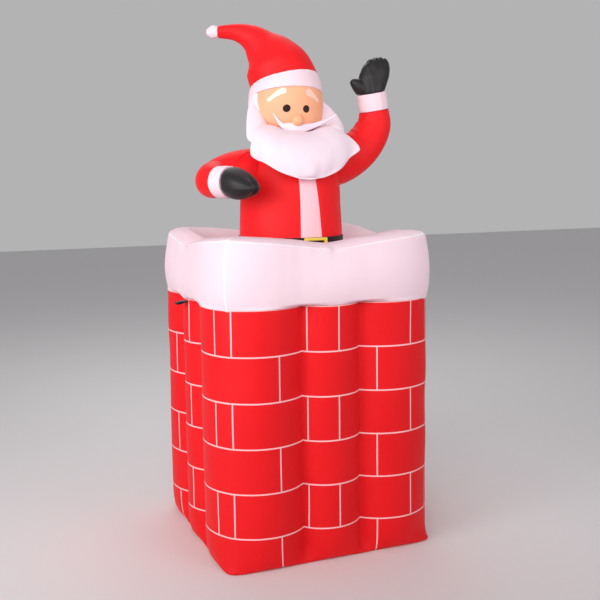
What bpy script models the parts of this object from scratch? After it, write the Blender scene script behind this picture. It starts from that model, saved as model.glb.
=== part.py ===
"""Inflatable Santa that stands in a brick chimney with a cap of snow.

Metres, +Z up. The figure faces -Y and the origin is the middle of the chimney's flat base.
Every sewn chamber or panel is one closed solid, drawn as it stands when it is full of air.
"""

import math

import bmesh
import bpy
from mathutils import Vector

# Chimney: a square column of eight upright air lobes, two creases on each face
CHIMNEY_HEIGHT = 0.765
CHIMNEY_HALF_WIDTH = 0.3526
LOBE_RISE = 0.045
CREASE_OFFSET = 0.0906
TAPER_PER_METRE = 0.0114
# The flat base panel is a rounded square, and the lobes draw in to its seam
BASE_HALF_WIDTH = 0.332
BASE_SQUARENESS = 15
BASE_DRAW_HEIGHT = 0.085
BASE_SEAM_HEIGHT = 0.006
BASE_SEAM_INSET = 0.008

# Snow cap: bulging sides, a sewn top edge, puffed corners and a well round the figure
CAP_SIDE_HEIGHT = 0.161
CAP_BULGE = 0.014
CAP_SQUARENESS = 5
CAP_TOP_LOBES = 0.03
CAP_LOBE_END = 0.16
CAP_TOP_INSET = 0.004
CORNER_LIFT = 0.027
CROWN_RISE = 0.012
CROWN_INSET = 0.062
SEAT_DROP = 0.028
SEAT_CLEARANCE = 0.003

# Figure: height from its seat to the top of the hat, and the sizes of its trimmings
FIGURE_HEIGHT = 0.702
BELT_HEIGHT = 0.049
BELT_THICKNESS = 0.004
BUCKLE_WIDTH = 0.074
BUCKLE_MARGIN = 0.002
BUCKLE_BAR = 0.008
BUCKLE_THICKNESS = 0.005
BUCKLE_SHIFT = 0.016
RIGHT_CUFF_LENGTH = 0.048
LEFT_CUFF_LENGTH = 0.055
CUFF_SWELL = 0.001
BAND_HEIGHT = 0.049
BAND_SWELL = 0.004
BAND_RADIUS = 0.1145

# Webbing tab sewn into the seam under the snow, on the figure's right-hand side
TAB_LENGTH = 0.034
TAB_WIDTH = 0.025
TAB_THICKNESS = 0.011
TAB_DROOP = 0.002
TAB_Y = -0.028

# Space that neighbouring pieces keep to each other
GAP = 0.0003

# The figure's tables are drawn for this height and scale with FIGURE_HEIGHT
DRAWN_HEIGHT = 0.702
SCALE = FIGURE_HEIGHT / DRAWN_HEIGHT
SEAT_Z = CHIMNEY_HEIGHT + CAP_SIDE_HEIGHT - SEAT_DROP

# Sides of the round sections
COLUMN_CORNER_STEPS = 9
COLUMN_MIDDLE_STEPS = 5
BODY_SIDES = 32
ARM_SIDES = 20
HEAD_SIDES = 32
HAT_SIDES = 28
BEARD_SIDES = 14

# Coat: height above the seat, half width, half depth
COAT_PROFILE = [
    (0.000, 0.160, 0.160),
    (0.050, 0.162, 0.162),
    (0.170, 0.158, 0.155),
    (0.232, 0.151, 0.143),
    (0.280, 0.136, 0.126),
    (0.320, 0.108, 0.102),
    (0.3515, 0.074, 0.074),
]

# Head: height above the seat and radius, from the neck to above the hat's band
HEAD_AXIS = (-0.005, 0.015)
HEAD_PROFILE = [
    (0.3518, 0.072),
    (0.376, 0.092),
    (0.410, 0.108),
    (0.447, 0.116),
    (0.480, 0.1145),
    (0.525, 0.110),
]

# Hat: the band tips back and is narrower at the right hand's side, where the crown droops
BAND_CENTRE = (-0.0055, 0.015, 0.476)
BAND_NORMAL = (0.0, 0.213, 1.0)
BAND_TOP_NORMAL = (-0.116, 0.259, 1.0)
DROOP_DIRECTION = (-0.93, 0.37)
# Along the droop from the band's axis, height above the seat, radius
HAT_LINE = [
    (0.001, 0.526, 0.1075),
    (0.0215, 0.573, 0.1005),
    (0.0470, 0.608, 0.0800),
    (0.072, 0.634, 0.0575),
    (0.1015, 0.6610, 0.0405),
    (0.1485, 0.678, 0.0262),
    (0.204, 0.6795, 0.0175),
]
TIP_LENGTH = 0.037

# Arms: points of the middle line (x, y, height above the seat) and the radius there
RIGHT_UPPER_ARM = [
    (-0.085, 0.006, 0.244, 0.076),
    (-0.150, 0.006, 0.241, 0.074),
    (-0.205, 0.008, 0.234, 0.067),
    (-0.250, 0.010, 0.228, 0.053),
    (-0.280, 0.010, 0.225, 0.034),
    (-0.294, 0.010, 0.224, 0.012),
]
RIGHT_ARM = [
    (-0.220, 0.020, 0.228, 0.048),
    (-0.252, -0.014, 0.225, 0.054),
    (-0.264, -0.048, 0.221, 0.0520),
    (-0.257, -0.084, 0.217, 0.0465),
]
RIGHT_FOREARM = (0.438, -0.899, 0.0)
RIGHT_HAND = (0.438, -0.899, -0.16)
LEFT_UPPER_ARM = []
LEFT_ARM = [
    (0.080, 0.000, 0.262, 0.076),
    (0.150, -0.002, 0.274, 0.073),
    (0.215, -0.006, 0.300, 0.067),
    (0.262, -0.012, 0.345, 0.060),
    (0.284, -0.018, 0.392, 0.055),
    (0.283, -0.022, 0.438, 0.0465),
]
LEFT_FOREARM = (-0.19, -0.06, 1.0)
LEFT_HAND = (0.16, -0.05, 1.0)

# Gloves: share of the length, half width and half thickness as shares of the wrist's radius
OPEN_HAND_LENGTH = 0.106
CURLED_HAND_LENGTH = 0.102
OPEN_HAND = [
    (0.00, 0.90, 0.90),
    (0.14, 1.00, 0.86),
    (0.36, 1.10, 0.78),
    (0.58, 1.14, 0.70),
    (0.76, 1.10, 0.60),
    (0.89, 1.00, 0.47),
    (0.97, 0.84, 0.30),
    (1.00, 0.70, 0.12),
]
CURLED_HAND = [
    (0.00, 0.90, 0.90),
    (0.12, 0.98, 1.00),
    (0.34, 0.99, 1.04),
    (0.56, 0.88, 0.98),
    (0.76, 0.69, 0.80),
    (0.90, 0.48, 0.56),
    (0.97, 0.31, 0.36),
    (1.00, 0.14, 0.16),
]
FINGERTIP_STEP = 0.007
FINGERS = 4
OPEN_THUMB_LENGTH = 0.064
OPEN_THUMB_RADIUS = 0.029
CURLED_THUMB_LENGTH = 0.058
CURLED_THUMB_RADIUS = 0.020
# Share of the thumb's length and share of its radius
THUMB_PROFILE = [(0.0, 1.0), (0.3, 0.92), (0.65, 0.66), (0.92, 0.38), (1.0, 0.2)]

# Beard: edge on the face, hem, and how far the front and the back swell from the line between them.
# The two sides are given outwards from the middle, with x away from it
BEARD_MIDDLE = ((0.000, -0.072, 0.357), (0.000, -0.178, 0.224), 0.050, 0.045)
BEARD_RIGHT = [
    ((0.034, -0.070, 0.361), (0.045, -0.177, 0.226), 0.050, 0.045),
    ((0.062, -0.062, 0.374), (0.098, -0.168, 0.244), 0.048, 0.042),
    ((0.078, -0.052, 0.387), (0.142, -0.151, 0.272), 0.043, 0.037),
    ((0.086, -0.046, 0.398), (0.174, -0.134, 0.296), 0.028, 0.026),
    ((0.090, -0.041, 0.407), (0.147, -0.103, 0.320), 0.019, 0.020),
    ((0.097, -0.030, 0.423), (0.156, -0.062, 0.349), 0.019, 0.021),
    ((0.106, -0.016, 0.448), (0.143, -0.024, 0.402), 0.018, 0.018),
    ((0.109, -0.006, 0.468), (0.126, -0.004, 0.450), 0.008, 0.010),
]
BEARD_LEFT = [
    ((0.034, -0.070, 0.358), (0.045, -0.177, 0.226), 0.050, 0.045),
    ((0.062, -0.062, 0.369), (0.096, -0.168, 0.248), 0.048, 0.042),
    ((0.078, -0.054, 0.379), (0.133, -0.153, 0.281), 0.038, 0.032),
    ((0.086, -0.048, 0.392), (0.179, -0.136, 0.307), 0.018, 0.014),
    ((0.090, -0.044, 0.402), (0.145, -0.116, 0.335), 0.011, 0.010),
    ((0.094, -0.036, 0.414), (0.141, -0.086, 0.360), 0.011, 0.011),
    ((0.101, -0.026, 0.430), (0.150, -0.056, 0.388), 0.012, 0.012),
    ((0.106, -0.016, 0.448), (0.138, -0.028, 0.418), 0.011, 0.010),
    ((0.108, -0.008, 0.464), (0.118, -0.008, 0.447), 0.007, 0.007),
]

# Moustache from its right tip to its left one: middle line, half height and half thickness
MOUSTACHE = [
    (-0.079, -0.072, 0.4210, 0.0020, 0.0020),
    (-0.067, -0.075, 0.4010, 0.0040, 0.0040),
    (-0.050, -0.080, 0.3830, 0.0090, 0.0050),
    (-0.030, -0.086, 0.3800, 0.0130, 0.0060),
    (-0.008, -0.090, 0.3770, 0.0110, 0.0070),
    (0.014, -0.089, 0.3780, 0.0120, 0.0065),
    (0.040, -0.088, 0.3830, 0.0090, 0.0055),
    (0.068, -0.089, 0.3920, 0.0065, 0.0050),
    (0.094, -0.092, 0.4030, 0.0042, 0.0042),
    (0.121, -0.094, 0.4175, 0.0018, 0.0022),
]

NOSE_CENTRE = (-0.010, -0.096, 0.4005)
NOSE_RADIUS = 0.0190
FACE_CUT_Y = -0.032
FACE_CUT_LEAN = 0.12


def clear_scene():
    for item in list(bpy.data.objects):
        bpy.data.objects.remove(item, do_unlink=True)


def material(name, colour, roughness):
    """Principled material of sewn polyester cloth in one linear colour."""
    made = bpy.data.materials.get(name) or bpy.data.materials.new(name)
    made.use_nodes = True
    shader = made.node_tree.nodes["Principled BSDF"]
    shader.inputs["Base Color"].default_value = (*colour, 1.0)
    shader.inputs["Roughness"].default_value = roughness
    shader.inputs["Metallic"].default_value = 0.0
    made.diffuse_color = (*colour, 1.0)
    return made


def figure_point(x, y, z):
    """Place of a point of the figure, given at its drawn size above the seat."""
    return Vector((x * SCALE, y * SCALE, SEAT_Z + z * SCALE))


def spline(keys, steps):
    """Rows of a Catmull-Rom curve through the key rows, with the given steps in each span."""
    rows = []
    last = len(keys) - 1
    for i in range(last):
        before, start, end, after = keys[max(i - 1, 0)], keys[i], keys[i + 1], keys[min(i + 2, last)]
        for k in range(steps):
            t = k / steps
            row = []
            for a, b, c, d in zip(before, start, end, after):
                slope = (2 * b) + (c - a) * t + (2 * a - 5 * b + 4 * c - d) * t * t
                row.append(0.5 * (slope + (3 * b - a - 3 * c + d) * t ** 3))
            rows.append(row)
    rows.append(list(keys[last]))
    return rows


def finish_mesh(name, bm, look):
    """Turn a bmesh into an object with outward faces, round shading and its own material."""
    bmesh.ops.recalc_face_normals(bm, faces=bm.faces)
    mesh = bpy.data.meshes.new(name)
    bm.to_mesh(mesh)
    bm.free()
    mesh.shade_smooth()
    mesh.set_sharp_from_angle(angle=math.radians(35))
    item = bpy.data.objects.new(name, mesh)
    bpy.context.scene.collection.objects.link(item)
    mesh.materials.append(material(name, *look))
    return item


def loft(rings):
    """Bmesh of one closed body through rings of equal count, with a flat face at each end."""
    bm = bmesh.new()
    rows = [[bm.verts.new(point) for point in ring] for ring in rings]
    count = len(rows[0])
    for low, high in zip(rows, rows[1:]):
        for i in range(count):
            j = (i + 1) % count
            bm.faces.new((low[i], low[j], high[j], high[i]))
    bm.faces.new(rows[0])
    bm.faces.new(rows[-1])
    return bm


def ring(centre, side, across, half_side, half_across, sides):
    """Points of an ellipse round the centre."""
    points = []
    for i in range(sides):
        turn = 2 * math.pi * i / sides
        points.append(centre + side * (half_side * math.cos(turn)) + across * (half_across * math.sin(turn)))
    return points


def round_ring(centre, along, side, radius, sides):
    """Points of a circle square to a direction, counted from the given side."""
    across = along.cross(side).normalized()
    return ring(centre, across.cross(along), across, radius, radius, sides)


def tube(rows, sides, side, first=None, final=None, turn_rings=1):
    """Rings of a round tube along rows of (point, radius), square to the line.

    The set end directions are used at the ends, and the first one fades over some rings.
    """
    rings = []
    last = len(rows) - 1
    for i, (centre, radius) in enumerate(rows):
        along = (rows[min(i + 1, last)][0] - rows[max(i - 1, 0)][0]).normalized()
        if first and i < turn_rings:
            along = along.lerp(Vector(first).normalized(), 1 - i / turn_rings).normalized()
        if i == last and final:
            along = Vector(final).normalized()
        rings.append(round_ring(centre, along, side, radius, sides))
    return rings


def grown_copy(item, amount):
    """Hidden cutter: the object's own mesh, moved out along its normals by the amount."""
    mesh = item.data.copy()
    bm = bmesh.new()
    bm.from_mesh(mesh)
    bm.normal_update()
    moves = [vert.normal * (amount * min(vert.calc_shell_factor(), 1.5)) for vert in bm.verts]
    for vert, move in zip(bm.verts, moves):
        vert.co += move
    bm.to_mesh(mesh)
    bm.free()
    cutter = bpy.data.objects.new(item.name + "_cutter", mesh)
    bpy.context.scene.collection.objects.link(cutter)
    cutter.hide_render = True
    cutter.display_type = "WIRE"
    return cutter


def cut_away(item, cutters):
    """Take the cutters' space out of the piece, so that it meets its neighbours face to face."""
    for cutter in cutters:
        modifier = item.modifiers.new("clear of " + cutter.name, "BOOLEAN")
        modifier.operation = "DIFFERENCE"
        modifier.solver = "EXACT"
        modifier.object = cutter


def join_on(item, other):
    """Fuse another closed shape to the piece and hide the shape itself."""
    other.hide_render = True
    other.display_type = "WIRE"
    modifier = item.modifiers.new("with " + other.name, "BOOLEAN")
    modifier.operation = "UNION"
    modifier.solver = "EXACT"
    modifier.object = other


def slice_off(bm, point, normal):
    """Cut the body on a plane and close it, keeping the side that the normal points away from."""
    geometry = bm.verts[:] + bm.edges[:] + bm.faces[:]
    made = bmesh.ops.bisect_plane(bm, geom=geometry, plane_co=point, plane_no=normal, clear_outer=True)
    edges = [part for part in made["geom_cut"] if isinstance(part, bmesh.types.BMEdge)]
    bmesh.ops.contextual_create(bm, geom=edges)


def column_outline():
    """Plan of the chimney: half-round corner lobes and shallow middle lobes, anticlockwise."""
    crease = CHIMNEY_HALF_WIDTH - LOBE_RISE
    corner_centre = (crease + CREASE_OFFSET) / 2
    corner_radius = (crease - CREASE_OFFSET) / math.sqrt(2)
    middle_radius = (CREASE_OFFSET ** 2 + LOBE_RISE ** 2) / (2 * LOBE_RISE)
    middle_half = math.asin(CREASE_OFFSET / middle_radius)
    middle_centre = CHIMNEY_HALF_WIDTH - middle_radius
    points = []
    for quarter in range(4):
        face = math.pi / 2 * quarter
        for i in range(COLUMN_MIDDLE_STEPS):
            turn = face - middle_half + 2 * middle_half * i / COLUMN_MIDDLE_STEPS
            x = middle_centre * math.cos(face) + middle_radius * math.cos(turn)
            y = middle_centre * math.sin(face) + middle_radius * math.sin(turn)
            points.append((x, y))
        corner = face + math.pi / 4
        reach = corner_centre * math.sqrt(2)
        for i in range(COLUMN_CORNER_STEPS):
            turn = corner - math.pi / 2 + math.pi * i / COLUMN_CORNER_STEPS
            x = reach * math.cos(corner) + corner_radius * math.cos(turn)
            y = reach * math.sin(corner) + corner_radius * math.sin(turn)
            points.append((x, y))
    return points


def plan_ring(height, inset=0.0, square=None, lobe_share=1.0):
    """One level of the column. The height may vary round it, and the inset is towards the axis.

    With a square (half width and squareness) the lobes show by their share over a rounded square.
    """
    points = []
    for x, y in column_outline():
        distance = math.hypot(x, y)
        reach = distance
        if square:
            half_width, squareness = square
            spread = abs(x / distance) ** squareness + abs(y / distance) ** squareness
            flat = half_width / spread ** (1 / squareness)
            reach = flat + (distance - flat) * lobe_share
        level = height(x, y) if callable(height) else height
        share = (reach - inset) / distance * (1 + TAPER_PER_METRE * (CHIMNEY_HEIGHT - level))
        points.append((x * share, y * share, level))
    return points


def corner_share(x, y):
    """0 in the middle of a face and 1 at a corner of the column."""
    return abs(math.sin(2 * math.atan2(y, x))) ** 1.5


def build_chimney():
    base = (BASE_HALF_WIDTH, BASE_SQUARENESS)
    rings = [
        plan_ring(0.0, BASE_SEAM_INSET, base, 0.0),
        plan_ring(BASE_SEAM_HEIGHT, 0.0, base, 0.0),
    ]
    for share in (0.12, 0.35, 0.65, 1.0):
        level = BASE_SEAM_HEIGHT + (BASE_DRAW_HEIGHT - BASE_SEAM_HEIGHT) * share
        rings.append(plan_ring(level, 0.0, base, math.sqrt(1 - (1 - share) ** 2)))
    for share in (0.33, 0.67, 1.0):
        rings.append(plan_ring(BASE_DRAW_HEIGHT + (CHIMNEY_HEIGHT - GAP - BASE_DRAW_HEIGHT) * share))
    return finish_mesh("chimney", loft(rings), ((0.70, 0.02, 0.02), 0.5))


def seam_level(x, y):
    """Height of the sewn edge round the cap's top, which dips in the middle of each face."""
    return CHIMNEY_HEIGHT + CAP_SIDE_HEIGHT + CORNER_LIFT * corner_share(x, y)


def build_snow_cap():
    square = (CHIMNEY_HALF_WIDTH, CAP_SQUARENESS)
    rings = []
    for share in (0.0, 0.09, 0.22, 0.42, 0.66, 0.88, 1.0):
        swell = CAP_BULGE * math.sin(math.pi * share ** 0.8)
        lobes = CAP_TOP_LOBES + (1 - CAP_TOP_LOBES) * max(0, 1 - share / CAP_LOBE_END) ** 2

        def side_level(x, y, share=share):
            return CHIMNEY_HEIGHT + (seam_level(x, y) - CHIMNEY_HEIGHT) * share

        rings.append(plan_ring(side_level, CAP_TOP_INSET * share - swell, square, lobes))
    for share, rise in ((0.35, 0.75), (0.75, 1.0), (1.15, 1.0)):
        def crown_level(x, y, rise=rise):
            return seam_level(x, y) + CROWN_RISE * rise

        rings.append(plan_ring(crown_level, CAP_TOP_INSET + CROWN_INSET * share, square, CAP_TOP_LOBES))
    seat_radius = math.hypot(buckle_front(), BUCKLE_WIDTH / 2 + BUCKLE_SHIFT) + SEAT_CLEARANCE
    crown = rings[-1]
    for share, fall in ((0.30, 0.15), (0.62, 0.55), (0.86, 0.86), (1.0, 1.0)):
        inner = []
        for x, y, z in crown:
            distance = math.hypot(x, y)
            radius = distance + (seat_radius - distance) * share
            inner.append((x * radius / distance, y * radius / distance, z + (SEAT_Z - z) * fall))
        rings.append(inner)
    return finish_mesh("snow_cap", loft(rings), ((0.90, 0.86, 0.88), 0.6))


def coat_radius():
    """Largest radius of the coat between its seat and its belt's top."""
    return COAT_PROFILE[1][1] * SCALE


def buckle_front():
    """Distance from the figure's axis to the buckle's flat front."""
    return coat_radius() + 2 * GAP + BELT_THICKNESS + BUCKLE_THICKNESS


def build_coat():
    rings = []
    for z, half_width, half_depth in spline(COAT_PROFILE, 2):
        centre = figure_point(0, 0, z)
        if z == 0:
            centre.z += GAP
        side, across = Vector((1, 0, 0)), Vector((0, 1, 0))
        rings.append(ring(centre, side, across, half_width * SCALE, half_depth * SCALE, BODY_SIDES))
    return finish_mesh("coat", loft(rings), ((0.80, 0.02, 0.025), 0.5))


def build_belt(coat_cutter):
    """Ring of black cloth round the coat, just above the seat."""
    rings = []
    outer = coat_radius() + GAP + BELT_THICKNESS
    for share in (0.0, 0.12, 0.88, 1.0):
        radius = outer - (BELT_THICKNESS * 0.4 if share in (0.0, 1.0) else 0.0)
        centre = Vector((0, 0, SEAT_Z + 2 * GAP + BELT_HEIGHT * share))
        rings.append(ring(centre, Vector((1, 0, 0)), Vector((0, 1, 0)), radius, radius, BODY_SIDES))
    belt = finish_mesh("belt", loft(rings), ((0.02, 0.012, 0.016), 0.55))
    belt_cutter = grown_copy(belt, GAP)
    cut_away(belt, [coat_cutter])
    return belt, belt_cutter


def build_buckle(belt_cutter):
    """Square frame on the front of the belt, flat in front and hollowed behind to the belt's curve."""
    front = -buckle_front()
    back = front + BUCKLE_THICKNESS * 3
    middle_z = SEAT_Z + 2 * GAP + BELT_HEIGHT / 2
    bm = bmesh.new()
    loops = []
    for y, inset in ((front, 0.0), (back, 0.0), (back, BUCKLE_BAR), (front, BUCKLE_BAR)):
        half_x = BUCKLE_WIDTH / 2 - inset
        half_z = BELT_HEIGHT / 2 - BUCKLE_MARGIN - inset
        corners = ((-1, -1), (1, -1), (1, 1), (-1, 1))
        loops.append([bm.verts.new((BUCKLE_SHIFT + a * half_x, y, middle_z + b * half_z)) for a, b in corners])
    for first, second in zip(loops, loops[1:] + loops[:1]):
        for i in range(4):
            j = (i + 1) % 4
            bm.faces.new((first[i], first[j], second[j], second[i]))
    buckle = finish_mesh("belt_buckle", bm, ((0.65, 0.46, 0.08), 0.45))
    cut_away(buckle, [belt_cutter])
    return buckle


def arm_rows(keys, steps):
    return [(figure_point(x, y, z), radius * SCALE) for x, y, z, radius in spline(keys, steps)]


def bend_normal(forearm):
    """Direction square to the plane that the arm bends in."""
    return Vector((0, 0, 1)) if forearm[2] == 0.0 else Vector((0, 1, 0))


def build_sleeve(name, upper_arm, arm, forearm, coat_cutter):
    """Bent tube of cloth from inside the shoulder to the cuff, cut back to the coat's surface."""
    look = ((0.80, 0.02, 0.025), 0.5)
    side = bend_normal(forearm)
    steps = 1 if upper_arm else 2
    sleeve = finish_mesh(name, loft(tube(arm_rows(arm, steps), ARM_SIDES, side, final=forearm)), look)
    cutters = [grown_copy(sleeve, GAP)]
    if upper_arm:
        upper = finish_mesh(name + "_upper_guide", loft(tube(arm_rows(upper_arm, 2), ARM_SIDES, side)), look)
        join_on(sleeve, upper)
        cutters.append(grown_copy(upper, GAP))
    cut_away(sleeve, [coat_cutter])
    return cutters


def build_cuff(name, arm, forearm, length):
    """Short swollen drum of white cloth on the end of the sleeve."""
    along = Vector(forearm).normalized()
    x, y, z, radius = arm[-1]
    start = figure_point(x, y, z) + along * GAP
    rows = []
    for share, swell in ((0.0, 0.0), (0.2, 0.8), (0.5, 1.0), (0.8, 0.8), (1.0, 0.0)):
        rows.append((start + along * (length * share), radius * SCALE + CUFF_SWELL * (0.3 + swell)))
    rings = tube(rows, ARM_SIDES, bend_normal(forearm))
    return finish_mesh(name, loft(rings), ((0.90, 0.84, 0.86), 0.6))


def build_glove(name, arm, forearm, cuff_length, hand_line, hand, length, palm_side, thumb):
    """Glove with a palm, a far edge scalloped by fused fingertips, and a thumb at one side.

    The thumb is its root's share of the palm's length, its length, radius, lean and turn.
    """
    along = Vector(forearm).normalized()
    wide = (Vector(palm_side) - along * Vector(palm_side).dot(along)).normalized()
    thick = along.cross(wide).normalized()
    x, y, z, radius = arm[-1]
    radius = radius * SCALE
    start = figure_point(x, y, z) + along * (cuff_length + 2 * GAP)
    onward = Vector(hand_line).normalized()
    length = length * SCALE
    sides = 24
    rings = []
    for share, half_width, half_thickness in hand:
        points = []
        for i in range(sides):
            turn = 2 * math.pi * i / sides
            place = math.cos(turn)
            reach = length * share * (1 - 0.10 * place * place + 0.03 * place)
            reach += FINGERTIP_STEP * SCALE * share ** 4 * abs(math.sin(FINGERS / 2 * math.pi * place))
            across = wide * (radius * half_width * place)
            through = thick * (radius * half_thickness * math.sin(turn))
            points.append(start + onward * reach + across + through)
        rings.append(points)
    palm = loft(rings)
    root_share, thumb_length, thumb_radius, thumb_lean, thumb_turn = thumb
    root = start + onward * (length * root_share) + wide * (radius * 0.40)
    lean = (onward * math.cos(thumb_lean) + wide * math.sin(thumb_lean)).normalized()
    lean = (lean + thick * thumb_turn).normalized()
    rows = []
    for share, swell in THUMB_PROFILE:
        rows.append((root + lean * (thumb_length * SCALE * share), thumb_radius * SCALE * swell))
    look = ((0.038, 0.032, 0.036), 0.55)
    glove = finish_mesh(name, palm, look)
    thumb_skin = loft(tube(rows, 12, thick))
    slice_off(thumb_skin, start + along * 0.001, -along)
    thumb_guide = finish_mesh(name + "_thumb_guide", thumb_skin, look)
    join_on(glove, thumb_guide)
    return glove


def head_mesh():
    """The whole head from the neck up to the slanting lower edge of the hat's band."""
    rings = []
    for z, radius in spline(HEAD_PROFILE, 2):
        centre = figure_point(*HEAD_AXIS, z)
        size = radius * SCALE
        rings.append(ring(centre, Vector((1, 0, 0)), Vector((0, 1, 0)), size, size, HEAD_SIDES))
    bm = loft(rings)
    slice_off(bm, figure_point(*BAND_CENTRE), Vector(BAND_NORMAL).normalized())
    return bm


def build_head():
    """Face panel in front and hair panel behind, which meet on a leaning plane."""
    whole = finish_mesh("head_guide", head_mesh(), ((0.9, 0.9, 0.9), 0.6))
    whole.hide_render = True
    whole.display_type = "WIRE"
    head_cutter = grown_copy(whole, GAP)
    cut_normal = Vector((0, 1, FACE_CUT_LEAN)).normalized()
    cut_point = figure_point(0, FACE_CUT_Y, BAND_CENTRE[2])
    front = head_mesh()
    slice_off(front, cut_point - cut_normal * (GAP / 2), cut_normal)
    face = finish_mesh("face", front, ((0.92, 0.47, 0.31), 0.6))
    back = head_mesh()
    slice_off(back, cut_point + cut_normal * (GAP / 2), -cut_normal)
    hair = finish_mesh("hair", back, ((0.90, 0.84, 0.87), 0.65))
    return face, hair, head_cutter


def build_nose(head_cutter):
    bm = bmesh.new()
    bmesh.ops.create_uvsphere(bm, u_segments=16, v_segments=9, radius=NOSE_RADIUS * SCALE)
    bmesh.ops.translate(bm, verts=bm.verts, vec=figure_point(*NOSE_CENTRE))
    nose = finish_mesh("nose", bm, ((0.92, 0.44, 0.28), 0.6))
    nose_cutter = grown_copy(nose, GAP)
    cut_away(nose, [head_cutter])
    return nose, nose_cutter


def build_hat():
    """White band, red crown that droops sideways, and the white tip at its end."""
    normal = Vector(BAND_NORMAL).normalized()
    top_normal = Vector(BAND_TOP_NORMAL).normalized()
    base = figure_point(*BAND_CENTRE)
    droop = Vector((*DROOP_DIRECTION, 0)).normalized()
    turning = droop.cross(Vector((0, 0, 1))).normalized()
    band_radius = BAND_RADIUS * SCALE
    hat_radius = HAT_LINE[0][2] * SCALE
    band_height = BAND_HEIGHT * SCALE
    rings = []
    for share, swell in ((0.0, 0.0), (0.25, 0.8), (0.5, 1.0), (0.75, 0.8), (1.0, 0.0)):
        radius = band_radius + (hat_radius - band_radius) * share + BAND_SWELL * SCALE * swell
        along = (normal + (top_normal - normal) * share).normalized()
        centre = base + normal * (GAP + band_height * share)
        rings.append(round_ring(centre, along, turning, radius, HAT_SIDES))
    band = finish_mesh("hat_band", loft(rings), ((0.90, 0.84, 0.86), 0.6))
    crown_start = base + normal * (band_height + GAP) + top_normal * GAP
    rows = []
    for along, z, radius in spline(HAT_LINE, 2):
        lift = Vector((0, 0, (z - HAT_LINE[0][1]) * SCALE))
        rows.append((crown_start + droop * ((along - HAT_LINE[0][0]) * SCALE) + lift, radius * SCALE))
    rings = tube(rows, HAT_SIDES, turning, first=top_normal, final=droop, turn_rings=5)
    hat = finish_mesh("hat", loft(rings), ((0.82, 0.025, 0.03), 0.5))
    tip_start = rows[-1][0] + droop * GAP
    tip_radius = rows[-1][1]
    rows = []
    for share, swell in ((0.0, 1.0), (0.35, 1.08), (0.65, 0.98), (0.87, 0.68), (1.0, 0.25)):
        rows.append((tip_start + droop * (TIP_LENGTH * SCALE * share), tip_radius * swell))
    tip = finish_mesh("hat_tip", loft(tube(rows, 14, turning)), ((0.90, 0.84, 0.86), 0.6))
    return band, hat, tip


def build_beard(cutters):
    """Air-filled crescent from ear to ear: a lens section at each station between face edge and hem."""
    keys = [(-edge[0], *edge[1:], -hem[0], *hem[1:], front, back) for edge, hem, front, back in BEARD_RIGHT]
    keys.reverse()
    keys += [(*edge, *hem, front, back) for edge, hem, front, back in [BEARD_MIDDLE] + BEARD_LEFT]
    rings = []
    for row in spline(keys, 2):
        edge = figure_point(HEAD_AXIS[0] + row[0], row[1], row[2])
        hem = figure_point(row[3], row[4], row[5])
        width = hem - edge
        middle = (edge + hem) / 2
        outward = Vector((middle.x, middle.y - HEAD_AXIS[1] * SCALE, 0)).normalized()
        outward = (outward - width * (outward.dot(width) / width.length_squared)).normalized()
        points = []
        for i in range(BEARD_SIDES):
            turn = 2 * math.pi * i / BEARD_SIDES
            swell = row[6] if math.sin(turn) > 0 else row[7]
            across = outward * (math.sin(turn) * swell * SCALE)
            points.append(edge + width * ((1 - math.cos(turn)) / 2) + across)
        rings.append(points)
    beard = finish_mesh("beard", loft(rings), ((0.90, 0.82, 0.86), 0.65))
    beard_cutter = grown_copy(beard, GAP)
    cut_away(beard, cutters)
    return beard, beard_cutter


def build_moustache(cutters):
    rings = []
    last = len(MOUSTACHE) - 1
    for i, (x, y, z, half_height, half_thickness) in enumerate(MOUSTACHE):
        before, after = MOUSTACHE[max(i - 1, 0)], MOUSTACHE[min(i + 1, last)]
        along = (Vector(after[:3]) - Vector(before[:3])).normalized()
        through = Vector((0, 1, 0))
        through = (through - along * through.dot(along)).normalized()
        upright = through.cross(along).normalized()
        centre = figure_point(x, y, z)
        rings.append(ring(centre, upright, through, half_height * SCALE, half_thickness * SCALE, 8))
    moustache = finish_mesh("moustache", loft(rings), ((0.92, 0.86, 0.88), 0.65))
    cut_away(moustache, cutters)
    return moustache


def build_tab():
    """Folded webbing that sticks out level from the seam under the snow."""
    root_x = -(CHIMNEY_HALF_WIDTH + GAP)
    rings = []
    for share, thickness in ((0.0, 0.25), (0.3, 0.45), (0.65, 0.85), (0.85, 1.0), (1.0, 0.55)):
        half = TAB_THICKNESS / 2 * thickness
        x = root_x - TAB_LENGTH * share
        z = CHIMNEY_HEIGHT - TAB_THICKNESS / 2 - TAB_DROOP * share
        corners = ((-1, -1), (1, -1), (1, 1), (-1, 1))
        rings.append([(x, TAB_Y + a * TAB_WIDTH / 2, z + b * half) for a, b in corners])
    return finish_mesh("tether_tab", loft(rings), ((0.015, 0.013, 0.014), 0.7))


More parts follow.
